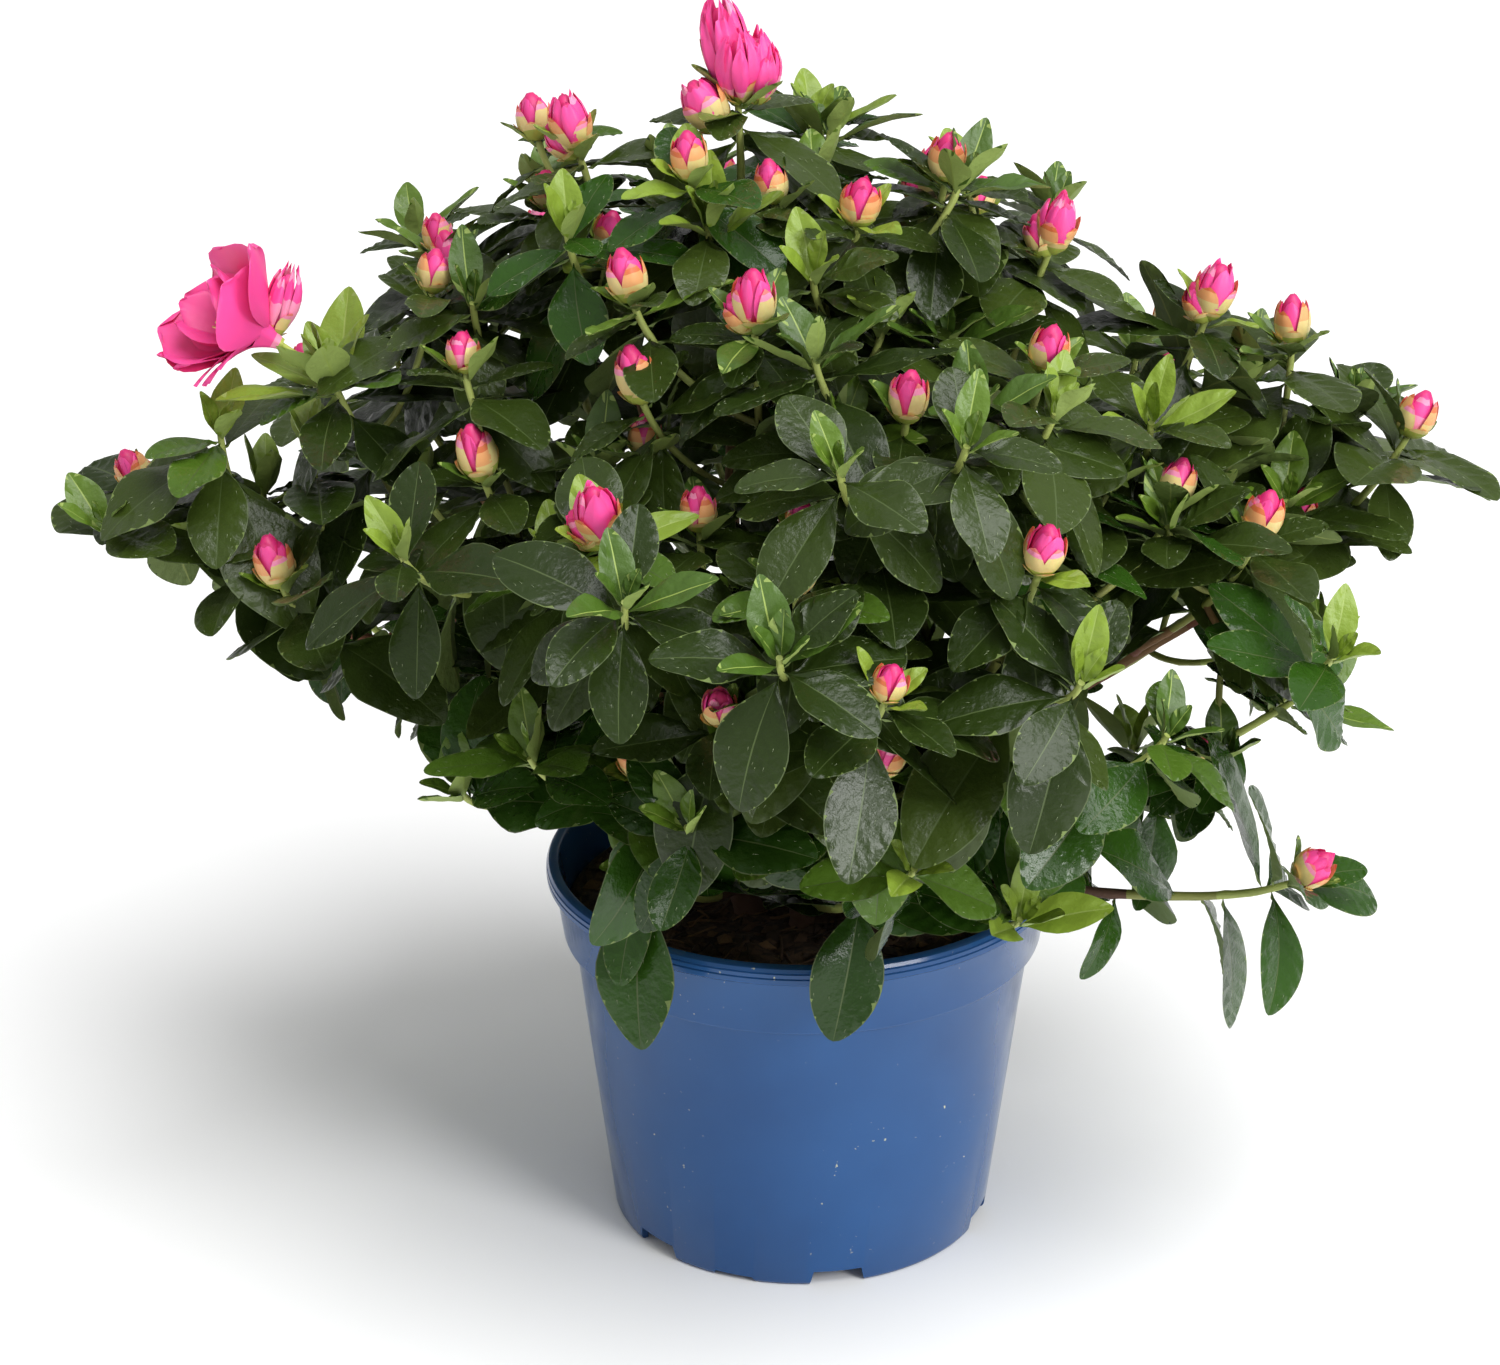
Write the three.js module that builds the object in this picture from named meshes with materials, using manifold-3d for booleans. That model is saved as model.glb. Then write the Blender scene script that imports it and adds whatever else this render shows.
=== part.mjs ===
// A potted azalea: a low evergreen shrub with many woody stems that leave the soil together, boughs that
// fork from them, and shoots that each end in a whorl of leaves under a flower bud. One shoot has an open
// flower. Millimetres, +Z up, +X to the viewer's right, -Y towards the viewer. The origin is the middle of
// the pot's underside, on the surface that the pot stands on.
import * as THREE from 'three';
import { mergeVertices } from 'three/addons/utils/BufferGeometryUtils.js';
import Module from 'manifold-3d';

const rad = THREE.MathUtils.degToRad;
const lerp = THREE.MathUtils.lerp;
const vec = (x, y, z) => new THREE.Vector3(x, y, z);

// Driving dimensions of the pot
const POT_HEIGHT = 128;
const RIM_RADIUS = 85;
const LIP_HEIGHT = 6;
const LIP_ROUNDING = 1.2;
const COLLAR_TOP_RADIUS = 82.4;
const COLLAR_FOOT_RADIUS = 79.6;
const COLLAR_HEIGHT = 26;
const STEP_DRAFT = 0.9;
const BODY_TOP_RADIUS = 76.2;
const FOOT_RADIUS = 63.4;
const FOOT_ROUNDING = 1.5;
const FOOT_RING_WIDTH = 1.4;
const WALL = 1.8;
const FLOOR_HEIGHT = 7;
const FLOOR_THICKNESS = 2;
const CENTRE_PAD_RADIUS = 16;
const CENTRE_PAD_DRAFT = 2;
const NOTCH_COUNT = 6;
const NOTCH_WIDTH = 16;
const NOTCH_HEIGHT = 5.5;
const NOTCH_TURN = 10.5;
const NICK_WIDTH = 13;
const NICK_HEIGHT = 2;
const NICK_TURN = -21;
const NOTCH_FLARE = 1.5;
const NOTCH_REACH = 12;
const POT_SIDES = 36;

// Driving dimensions of the soil
const SOIL_TOP = 116;
const SOIL_FLAT_RADIUS = 50;
const SOIL_SHOULDER_RADIUS = 62;
const SOIL_SHOULDER_DROP = 1.5;
const SOIL_EDGE_DROP = 5;
const SOIL_SIDES = 24;

// Driving dimensions of the stems and boughs
const CLEARANCE = 0.3;
const LEAST_EDGE = 0.02;
const LIMB_SIDES = 6;
const LIMB_CHORDS = 5;
const FOOT_DEPTH = 6;
const FOOT_FLARE = 0.45;
const FLARE_HEIGHT = 9;
const STEM_SPREAD = 0.45;
const FORK_RADIUS_SHARE = 0.72;
const MOST_FORK_RADIUS = 2.6;
const FORK_RISE = 0.22;
const ARRIVAL_SHARE = 0.33;
const TIP_LEAN = 0.35;
const TAPER_POWER = 0.8;
const SHOOT_TIP_RADIUS = 1.5;

// Driving dimensions of the shoots
const LEAD_CHORDS = 3;
const SIDE_SHOOT_CHORDS = 2;
const SIDE_SHOOTS = 2;
const SIDE_SHOOT_LENGTH = 60;
const SIDE_SHOOT_RISE = 0.3;
const SIDE_SHOOT_GIRTH = 0.85;
const SIDE_SHOOT_TOP = 0.76;
const SIDE_SHOOT_STEP = 0.13;
const SIDE_SHOOT_HEADING = { along: 0.45, side: 0.75, up: 0.3 };
const SHARE_WITH_BUD = 0.25;
const BUD_LENGTH = 20;
const BUD_RADIUS = 6.2;
const BUD_SHAPE = [[0.4, 1], [0.75, 0.75], [1, 0]];
const BARE_TIP = 3;

// Driving dimensions of the leaves. A leaf's turn round its shoot and its lift above it are in degrees.
const GOLDEN_ANGLE = 137.5;
const LEAF_PLACES = 10;
const LEAVES_ON_LEAD = 7;
const LEAVES_ON_SIDE_SHOOT = 4;
const WHORL_PLACES = 7;
const WHORL_START = 1.5;
const WHORL_STEP = 1.7;
const LOWER_START = 18;
const LOWER_STEP = 8.5;
const LEAF_LENGTH = 40;
const LEAF_WIDTH_SHARE = 0.52;
const LEAF_WIDEST = 0.56;
const LEAF_THICKNESS = 1.2;
const LEAF_FOLD = 0.05;
const LEAF_SAG = 0.1;
const LEAF_ENLARGEMENT = 1.12;
const LEAF_ROOT_DEPTH = 0.25;
const LEAF_STALK = 3;
const LEAF_HANG = 0.12;
const LEAF_LIFT = 30;
const LEAF_LIFT_STEP = 9;
const YOUNG_SIZE = 0.72;
const GROWTH_STEP = 0.09;
const LEAST_SIZE = 0.6;
const LOW_LEAVES = { height: 150, size: 1.28 };
const HIGH_LEAVES = { height: 400, size: 0.8 };
const LEAF_TRIES = [
  { aside: 0, scale: 1 },
  { aside: 48, scale: 1 },
  { aside: -44, scale: 0.85 },
  { aside: 0, scale: 0.72 },
];

// Driving dimensions of the open flower
const FLOWER_FACING = [-0.86, 0, 0.5];
const FLOWER_TUBE = [[0, -1.5], [1, 0.5], [1.2, 9], [8, 26], [0, 31]];
const PETALS = 5;
const PETAL_LENGTH = 30;
const PETAL_WIDTH = 28;
const PETAL_LIFT = 0.85;
const PETAL_START = 19;

// How far side shoots and their leaves may reach from the crown's middle: height and reach at that height.
const CROWN_MIDDLE = new THREE.Vector3(-8, 8, 0);
const CROWN_REACH = [
  [140, 120],
  [170, 165],
  [205, 200],
  [240, 232],
  [275, 240],
  [310, 200],
  [345, 138],
  [375, 75],
  [405, 10],
];

// The crown's outline as it is seen from the front, a little from above: height, then how far left and right
// it shows at the crown's middle. Between its shoots the sky shows in round gaps: their place and radius.
const STANDPOINT = vec(-17, -1300, 753);
const OUTLINE = [
  [62, -74, 158],
  [77, -78, 176],
  [90, -80, 182],
  [103, -84, 210],
  [116, -86, 206],
  [129, -90, 198],
  [142, -102, 170],
  [155, -126, 165],
  [167, -132, 188],
  [180, -160, 182],
  [192, -200, 176],
  [205, -200, 178],
  [217, -200, 164],
  [229, -208, 186],
  [241, -236, 206],
  [254, -253, 228],
  [265, -230, 222],
  [277, -216, 204],
  [289, -190, 198],
  [301, -168, 182],
  [313, -176, 168],
  [324, -168, 152],
  [336, -150, 142],
  [347, -122, 86],
  [358, -96, 66],
  [370, -94, 50],
  [381, -90, 26],
  [392, -78, 6],
  [405, -46, -4],
  [420, -36, -4],
  [428, -20, -18],
];
const SKY_GAPS = [
  [164, 152, 12],
  [151, 166, 10],
  [181, 148, 12],
  [102, 175, 9],
  [118, 206, 8],
  [111, 196, 7],
  [133, 183, 7],
  [119, 86, 13],
  [84, 88, 7],
  [136, 131, 7],
  [143, 115, 6],
  [187, 185, 9],
  [173, 218, 8],
  [-205, 287, 9],
  [-177, 271, 7],
  [-168, 265, 6],
  [-147, 323, 7],
  [-141, 177, 7],
  [-129, 163, 6],
  [-30, 102, 9],
  [-12, 101, 8],
  [10, 101, 7],
  [-76, 132, 8],
  [-71, 118, 7],
];

// Main stems: the foot's place on the soil, the radius there, and the share of the way to its tip that is
// bare limb. Each stem makes for the tip of the foliage mass that has its name in "from" and no "at".
const STEMS = {
  stem_centre: { foot: [-4, 8], radius: 4.6, share: 0.62, rise: 0.5 },
  stem_left: { foot: [-24, 8], radius: 4.0, share: 0.6, rise: 0.42 },
  stem_front_left: { foot: [-17, -14], radius: 3.8, share: 0.6, rise: 0.42 },
  stem_front: { foot: [0, -24], radius: 3.4, share: 0.55, rise: 0.42 },
  stem_front_right: { foot: [16, -10], radius: 3.8, share: 0.6, rise: 0.45 },
  stem_right: { foot: [24, 10], radius: 4.2, share: 0.6, rise: 0.4 },
  stem_low_right: { foot: [34, -22], radius: 2.6, share: 0.45, rise: 0.28 },
  stem_back_left: { foot: [-16, 28], radius: 3.8, share: 0.6, rise: 0.42 },
  stem_back: { foot: [2, 34], radius: 3.6, share: 0.6, rise: 0.42 },
  stem_back_right: { foot: [19, 29], radius: 3.8, share: 0.6, rise: 0.42 },
};

// Masses of foliage: the limb that carries each one, how far up that limb it forks off, and its tip in mm
// right of, behind and above the origin. "bough" is the share of its way that is a bare bough, a node of
// its own. "lean" turns the tip outward, "roll" turns its side shoots and leaves round the shoot, "droop"
// lowers its leaves, and "bud", "leaf" and "shoots" are its bud's size, its leaves' and its side shoots'
// count. "sides" places the tips of side shoots, each with the size of its bud.
const MASSES = [
  {
    name: 'crest', from: 'stem_centre', tip: [-21, -10, 388], lean: 0.1, roll: 120, bud: 1.6,
    sides: [[-35, -40, 372, 0.85], [8, 30, 367, 0]],
  },
  {
    name: 'crest_left', from: 'stem_centre', at: 0.5, tip: [-70, -12, 372],
    bough: 0.45, roll: 20, bud: 1.15, sides: [[-83, 5, 371, 0.9], [-79, -5, 352, 0.7]],
  },
  { name: 'crest_right', from: 'stem_centre', at: 0.56, tip: [38, 5, 350], roll: 180, bud: 1.25 },
  { name: 'crest_back', from: 'stem_centre', at: 0.44, tip: [-25, 72, 328], roll: 80, leaf: 1.12 },
  {
    name: 'upper_right', from: 'stem_centre', at: 0.38, tip: [15, -50, 361],
    bough: 0.45, roll: 300, sides: [[-10, -30, 361, 0.7]],
  },
  {
    name: 'front_high', from: 'stem_centre', at: 0.3, tip: [-16, -90, 342],
    bough: 0.5, roll: 250, bud: 1.15, sides: [[-52, -70, 343, 0.95]],
  },
  {
    name: 'left_far', from: 'stem_left', tip: [-212, 0, 258],
    lean: 0.6, roll: 30, bud: 0.8, leaf: 1.2,
  },
  {
    name: 'flower_shoot', from: 'stem_left', at: 0.5, tip: [-147, -30, 306],
    bough: 0.5, roll: 70, shoots: 1, flower: true,
  },
  {
    name: 'upper_left', from: 'stem_left', at: 0.36, tip: [-110, 5, 328],
    bough: 0.4, roll: 60, bud: 0.85, sides: [[-115, 10, 333, 0.6], [-61, -20, 343, 0.75]],
  },
  { name: 'left_middle', from: 'stem_left', at: 0.42, tip: [-163, -48, 243], roll: 120, droop: -15 },
  {
    name: 'front_left', from: 'stem_front_left', tip: [-60, -130, 290], lean: 0.5, roll: 220, bud: 1.25,
    sides: [[-49, -75, 296, 0.7]],
  },
  {
    name: 'middle_left', from: 'stem_front_left', at: 0.5, tip: [-98, -70, 287],
    bough: 0.45, roll: 120, sides: [[-104, -50, 314, 0.75]],
  },
  {
    name: 'low_left', from: 'stem_front_left', at: 0.36, tip: [-50, -110, 207],
    lean: 0.6, roll: 260, bud: 0.95, droop: -5, sides: [[-34, -105, 199, 0]],
  },
  {
    name: 'low_left_outer', from: 'stem_front_left', at: 0.24, tip: [-88, -50, 202],
    lean: 0.5, roll: 130, bud: 0.95, droop: -15,
  },
  {
    name: 'front_middle', from: 'stem_front', tip: [-4, -150, 283], lean: 0.45, roll: 330,
    sides: [[-2, -115, 286, 0.65], [-3, -125, 241, 0.75]],
  },
  {
    name: 'low_middle', from: 'stem_front', at: 0.42, tip: [-26, -140, 238],
    lean: 0.6, roll: 320, bud: 0.7,
  },
  {
    name: 'low_front', from: 'stem_front', at: 0.3, tip: [22, -135, 219],
    lean: 0.6, roll: 350, droop: 30, leaf: 1.1,
  },
  {
    name: 'rim_front', from: 'stem_front', at: 0.12, tip: [18, -88, 158],
    lean: 0.9, roll: 180, shoots: 0, droop: 35, bud: 0,
  },
  {
    name: 'rim_left', from: 'stem_front_left', at: 0.1, tip: [-52, -74, 158],
    lean: 1, roll: 0, shoots: 0, droop: 40, bud: 0, leaf: 1.15,
  },
  {
    name: 'front_right', from: 'stem_front_right', tip: [66, -138, 284], lean: 0.5, roll: 330,
    sides: [[111, -65, 276, 0.8]],
  },
  {
    name: 'front_upper', from: 'stem_front_right', at: 0.45, tip: [28, -112, 321],
    bough: 0.5, roll: 200, bud: 0.9,
  },
  {
    name: 'right_middle', from: 'stem_front_right', at: 0.54, tip: [70, -80, 325], roll: 45,
    sides: [[54, -85, 296, 0.8]],
  },
  {
    name: 'low_right_inner', from: 'stem_front_right', at: 0.3, tip: [66, -108, 218],
    lean: 0.7, roll: 310, bud: 0.8,
  },
  {
    name: 'right_tip', from: 'stem_right', tip: [192, 0, 275],
    lean: 0.5, roll: 80, droop: -15, leaf: 1.2,
    sides: [[153, -5, 307, 0.85], [155, -20, 251, 0.75]],
  },
  {
    name: 'right_high', from: 'stem_right', at: 0.3, tip: [74, -28, 345],
    bough: 0.45, roll: 10, bud: 1.15,
  },
  {
    name: 'right_peak', from: 'stem_right', at: 0.46, tip: [124, -20, 321],
    bough: 0.45, roll: 250, bud: 1.1, sides: [[129, -10, 297, 0.6]],
  },
  {
    name: 'right_outer', from: 'stem_right', at: 0.52, tip: [138, -62, 265], roll: 67, droop: -12,
    sides: [[126, -15, 269, 0.75]],
  },
  {
    name: 'right_arch', from: 'stem_right', at: 0.18, tip: [160, -28, 198],
    bough: 0.5, lean: 1.2, roll: 52, bud: 0,
  },
  {
    name: 'low_right_small', from: 'stem_low_right', at: 0.27, tip: [128, 0, 160],
    lean: 1, roll: 120, bud: 0.8,
  },
  {
    name: 'low_right', from: 'stem_low_right', tip: [156, -60, 147],
    lean: 1.6, roll: 240, shoots: 0, droop: -22, leaf: 1.1,
  },
  { name: 'back_left', from: 'stem_back_left', tip: [-140, 118, 262], lean: 0.5, roll: 60, leaf: 1.12 },
  {
    name: 'back_left_low', from: 'stem_back_left', at: 0.28, tip: [-165, 80, 195],
    lean: 0.9, roll: 160, leaf: 1.12,
  },
  { name: 'back_left_high', from: 'stem_back_left', at: 0.46, tip: [-84, 82, 308], roll: 300, leaf: 1.12 },
  { name: 'back', from: 'stem_back', tip: [-12, 172, 275], lean: 0.5, roll: 45, leaf: 1.12 },
  { name: 'back_low', from: 'stem_back', at: 0.3, tip: [22, 165, 192], lean: 0.9, roll: 220, leaf: 1.12 },
  { name: 'back_right', from: 'stem_back_right', tip: [125, 118, 266], lean: 0.5, roll: 100, leaf: 1.12 },
  {
    name: 'back_right_low', from: 'stem_back_right', at: 0.28, tip: [155, 95, 195],
    lean: 0.9, roll: 20, leaf: 1.12,
  },
  { name: 'back_right_high', from: 'stem_back_right', at: 0.46, tip: [56, 84, 302], roll: 250, leaf: 1.12 },
];

const wasm = await Module();
wasm.setup();
const UP = new THREE.Vector3(0, 0, 1);

// Directions that no limb runs along, from which its sections and its leaves are turned.
const SECTION_START = vec(0.31, 0.87, 0.39).normalize();
const LEAF_TURN_START = vec(0.3, -0.9, 0.1);

const FINISH = {
  pot: { color: 0x3f6396, roughness: 0.38, metalness: 0 },
  soil: { color: 0x3a2a20, roughness: 1, metalness: 0 },
  bark: { color: 0x7a5638, roughness: 0.85, metalness: 0 },
  leaf: { color: 0x2c4a2a, roughness: 0.45, metalness: 0 },
};

// Booleans

function solidOf(geometry) {
  const bare = geometry.clone();
  bare.deleteAttribute('normal');
  bare.deleteAttribute('uv');
  const merged = mergeVertices(bare, 1e-4);
  const mesh = { numProp: 3, vertProperties: merged.attributes.position.array };
  mesh.triVerts = new Uint32Array(merged.index.array);
  return new wasm.Manifold(new wasm.Mesh(mesh));
}

function geometryOf(solid) {
  const mesh = solid.getMesh();
  const geometry = new THREE.BufferGeometry();
  geometry.setAttribute('position', new THREE.BufferAttribute(new Float32Array(mesh.vertProperties), 3));
  geometry.setIndex(new THREE.BufferAttribute(new Uint32Array(mesh.triVerts), 1));
  geometry.computeVertexNormals();
  return geometry;
}

// The whole piece of a fused solid, without loose scraps or sealed hollows.
function wholePiece(solid) {
  const pieces = solid.decompose();
  return pieces.reduce((best, piece) => (piece.volume() > best.volume() ? piece : best));
}

// A generator of numbers from 0 to 1 that always gives the same run for the same seed.
function seeded(seed) {
  let state = seed >>> 0;
  return () => {
    state = (state + 0x6d2b79f5) >>> 0;
    let t = state;
    t = Math.imul(t ^ (t >>> 15), t | 1);
    t ^= t + Math.imul(t ^ (t >>> 7), t | 61);
    return ((t ^ (t >>> 14)) >>> 0) / 4294967296;
  };
}

// Pot and soil

function latheAroundZ(profile, sides) {
  const points = profile.map(([radius, z]) => new THREE.Vector2(radius, z));
  return new THREE.LatheGeometry(points, sides).rotateX(Math.PI / 2);
}

function bodyRadiusAt(z) {
  return lerp(FOOT_RADIUS, BODY_TOP_RADIUS, z / (POT_HEIGHT - COLLAR_HEIGHT));
}

// What is cut from the pot's foot for a notch of a width and height, turned from the front.
function notchCutter(width, height, turn) {
  const shape = new THREE.Shape();
  shape.moveTo(-width / 2 - NOTCH_FLARE, -1);
  shape.lineTo(width / 2 + NOTCH_FLARE, -1);
  shape.lineTo(width / 2, height);
  shape.lineTo(-width / 2, height);
  const cutter = new THREE.ExtrudeGeometry(shape, { depth: 2 * NOTCH_REACH, bevelEnabled: false });
  cutter.rotateX(Math.PI / 2).translate(0, NOTCH_REACH - FOOT_RADIUS, 0);
  return solidOf(cutter.rotateZ(rad(turn)));
}

function makePot() {
  const collarFoot = POT_HEIGHT - COLLAR_HEIGHT;
  const lipFoot = POT_HEIGHT - LIP_HEIGHT;
  const innerFloor = FLOOR_HEIGHT + FLOOR_THICKNESS;
  const profile = [
    [0, 0],
    [CENTRE_PAD_RADIUS - CENTRE_PAD_DRAFT, 0],
    [CENTRE_PAD_RADIUS, FLOOR_HEIGHT],
    [bodyRadiusAt(FLOOR_HEIGHT) - WALL, FLOOR_HEIGHT],
    [FOOT_RADIUS - FOOT_ROUNDING - FOOT_RING_WIDTH, 0],
    [FOOT_RADIUS - FOOT_ROUNDING, 0],
    [bodyRadiusAt(FOOT_ROUNDING), FOOT_ROUNDING],
    [BODY_TOP_RADIUS, collarFoot - STEP_DRAFT],
    [COLLAR_FOOT_RADIUS, collarFoot],
    [COLLAR_TOP_RADIUS, lipFoot - STEP_DRAFT],
    [RIM_RADIUS, lipFoot + STEP_DRAFT],
    [RIM_RADIUS, POT_HEIGHT - LIP_ROUNDING],
    [RIM_RADIUS - LIP_ROUNDING, POT_HEIGHT],
    [COLLAR_TOP_RADIUS - WALL, POT_HEIGHT],
    [COLLAR_FOOT_RADIUS - WALL, collarFoot + STEP_DRAFT],
    [BODY_TOP_RADIUS - WALL, collarFoot - WALL],
    [bodyRadiusAt(innerFloor) - WALL, innerFloor],
    [0, innerFloor],
  ];
  let pot = solidOf(latheAroundZ(profile, POT_SIDES));
  for (let i = 0; i < NOTCH_COUNT; i += 1) {
    pot = pot.subtract(notchCutter(NOTCH_WIDTH, NOTCH_HEIGHT, NOTCH_TURN + (i * 360) / NOTCH_COUNT));
  }
  return pot.subtract(notchCutter(NICK_WIDTH, NICK_HEIGHT, NICK_TURN));
}

// The soil fills the pot, a little clear of its wall and floor.
function makeSoil() {
  const clear = 2 * CLEARANCE;
  const inset = WALL + clear;
  const foot = FLOOR_HEIGHT + FLOOR_THICKNESS + CLEARANCE;
  const collarFoot = POT_HEIGHT - COLLAR_HEIGHT;
  const collarStart = collarFoot + STEP_DRAFT;
  const edge = SOIL_TOP - SOIL_EDGE_DROP;
  const edgeShare = (edge - collarStart) / (POT_HEIGHT - collarStart);
  const profile = [
    [0, foot],
    [bodyRadiusAt(foot) - inset, foot],
    [BODY_TOP_RADIUS - inset, collarFoot - WALL + clear],
    [COLLAR_FOOT_RADIUS - inset, collarStart + clear],
    [lerp(COLLAR_FOOT_RADIUS, COLLAR_TOP_RADIUS, edgeShare) - inset, edge],
    [SOIL_SHOULDER_RADIUS, SOIL_TOP - SOIL_SHOULDER_DROP],
    [SOIL_FLAT_RADIUS, SOIL_TOP],
    [0, SOIL_TOP],
  ];
  return solidOf(latheAroundZ(profile, SOIL_SIDES));
}

// Limbs

// The part of a curve from one share of its length to another, as straight chords between points that are
// evenly spaced.
class Chords {
  constructor(whole, from, to, count) {
    const shareAt = (i) => lerp(from, to, i / count);
    this.points = Array.from({ length: count + 1 }, (_, i) => whole.getPointAt(shareAt(i)));
    this.tangents = this.points.map((_, i) => whole.getTangentAt(shareAt(i)));
    this.count = count;
    this.length = whole.getLength() * (to - from);
  }

  between(list, share) {
    const i = Math.min(Math.floor(share * this.count), this.count - 1);
    return list[i].clone().lerp(list[i + 1], share * this.count - i);
  }

  pointAt(share) {
    return this.between(this.points, share);
  }

  tangentAt(share) {
    return this.between(this.tangents, share).normalize();
  }
}

// A round limb along chords, closed at both ends, with a radius for each share of its length.
function limbAlong(chords, radiusAt) {
  const cylinder = new THREE.CylinderGeometry(1, 1, 1, LIMB_SIDES, chords.count);
  return bentAlong(chords, cylinder, radiusAt, []);
}

// A three-sided shoot along chords that ends in a point, or in a bud when that has a size.
function shootAlong(chords, radiusAt, bud) {
  const length = BUD_LENGTH * bud;
  const radius = BUD_RADIUS * Math.sqrt(bud);
  const budRings = BUD_SHAPE.map(([rise, girth]) => [rise * length, girth * radius]);
  const swelling = bud > 0 ? budRings : [[BARE_TIP, 0]];
  const cone = new THREE.CylinderGeometry(0, 1, 1, 3, chords.count + swelling.length);
  return bentAlong(chords, cone, radiusAt, swelling);
}

// Bends an upright cylinder along chords. The rings past their end stand straight on from it, each with its
// own rise and radius, and turned by half a side, so that three sides read as six.
function bentAlong(chords, cylinder, radiusAt, beyond) {
  const position = cylinder.attributes.position;
  const all = chords.count + beyond.length;
  const local = new THREE.Vector3();
  for (let i = 0; i < position.count; i += 1) {
    local.fromBufferAttribute(position, i);
    const ring = Math.round((local.y + 0.5) * all);
    const isCentre = Math.hypot(local.x, local.z) < 1e-6;
    const past = Math.max(ring - chords.count, 0);
    const at = (ring - past) / chords.count;
    const [rise, girth] = past > 0 ? beyond[past - 1] : [0, radiusAt(at)];
    const radius = isCentre ? 0 : girth;
    const turn = Math.atan2(local.z, local.x) + (past * Math.PI) / 3;
    const tangent = chords.tangentAt(at);
    const first = new THREE.Vector3().crossVectors(SECTION_START, tangent).normalize();
    const second = new THREE.Vector3().crossVectors(first, tangent);
    const point = chords.pointAt(at).addScaledVector(tangent, rise);
    point.addScaledVector(first, Math.cos(turn) * radius);
    point.addScaledVector(second, Math.sin(turn) * radius);
    position.setXYZ(i, point.x, point.y, point.z);
  }
  return outwardSolid(cylinder);
}

// The crown's reach from its axis at a height, between the rows of its named profile.
function isInCrown(point) {
  const next = CROWN_REACH.findIndex(([height]) => height > point.z);
  if (next < 1) return false;
  const [lowHeight, lowReach] = CROWN_REACH[next - 1];
  const [highHeight, highReach] = CROWN_REACH[next];
  const reach = lerp(lowReach, highReach, (point.z - lowHeight) / (highHeight - lowHeight));
  return Math.hypot(point.x - CROWN_MIDDLE.x, point.y - CROWN_MIDDLE.y) < reach;
}

// Whether a point stands where the sky shows, as seen from the front.
function showsAsSky(point) {
  const share = STANDPOINT.y / (STANDPOINT.y - point.y);
  const seen = STANDPOINT.clone().lerp(point, share);
  const next = Math.max(OUTLINE.findIndex(([height]) => height > seen.z), 0);
  if (next === 0) return seen.z > OUTLINE[0][0];
  const [lowHeight, lowLeft, lowRight] = OUTLINE[next - 1];
  const [highHeight, highLeft, highRight] = OUTLINE[next];
  const up = (seen.z - lowHeight) / (highHeight - lowHeight);
  if (seen.x < lerp(lowLeft, highLeft, up) || seen.x > lerp(lowRight, highRight, up)) return true;
  return SKY_GAPS.some(([x, z, radius]) => Math.hypot(seen.x - x, seen.z - z) < radius);
}

function outwardFrom(point) {
  return vec(point.x - CROWN_MIDDLE.x, point.y - CROWN_MIDDLE.y, 0).normalize();
}

function tipDirection(tip, lean = TIP_LEAN) {
  return UP.clone().addScaledVector(outwardFrom(tip), lean).normalize();
}

// A limb's way from its start to its tip: it leaves along one direction and arrives along another.
function wayTo(start, leaving, tip, arriving, rise) {
  const span = start.distanceTo(tip);
  const first = start.clone().addScaledVector(leaving, span * rise);
  const second = tip.clone().addScaledVector(arriving, -span * ARRIVAL_SHARE);
  return new THREE.CubicBezierCurve3(start, first, second, tip);
}

function radiusLaw(start) {
  return (share) => lerp(start, SHOOT_TIP_RADIUS, share ** TAPER_POWER);
}

// Every limb that can carry others, by name: its chords, its radius law, the share that is bare limb, its
// solid, and the room that a limb forking from it leaves round it.
const limbs = {};

function addLimb(name, way, radiusAt, share, carrier) {
  const chords = new Chords(way, 0, share, LIMB_CHORDS);
  const spare = CLEARANCE / Math.cos(Math.PI / LIMB_SIDES);
  const limb = limbAlong(chords, (along) => radiusAt(along * share));
  const room = limbAlong(chords, (along) => radiusAt(along * share) + spare);
  const solid = carrier ? wholePiece(limb.subtract(carrier.room)) : limb.subtract(groundBlock());
  limbs[name] = { chords, radiusAt, share, solid, room };
}

// What lies under the flat cut of a stem's foot, just above the soil.
function groundBlock() {
  return solidOf(new THREE.BoxGeometry(200, 200, 40).translate(0, 0, SOIL_TOP + CLEARANCE - 20));
}

function growStem(name, mass) {
  const { foot, radius, share, rise } = STEMS[name];
  const start = vec(foot[0], foot[1], SOIL_TOP - FOOT_DEPTH);
  const tip = vec(...mass.tip);
  const leaving = UP.clone().addScaledVector(outwardFrom(tip), STEM_SPREAD).normalize();
  const way = wayTo(start, leaving, tip, tipDirection(tip, mass.lean), rise);
  const height = way.getLength();
  const law = radiusLaw(radius);
  const flared = (at) => law(at) * (1 + FOOT_FLARE * Math.exp((FOOT_DEPTH - at * height) / FLARE_HEIGHT));
  addLimb(name, way, flared, share, null);
  return { way, radiusAt: flared, from: share };
}

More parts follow.
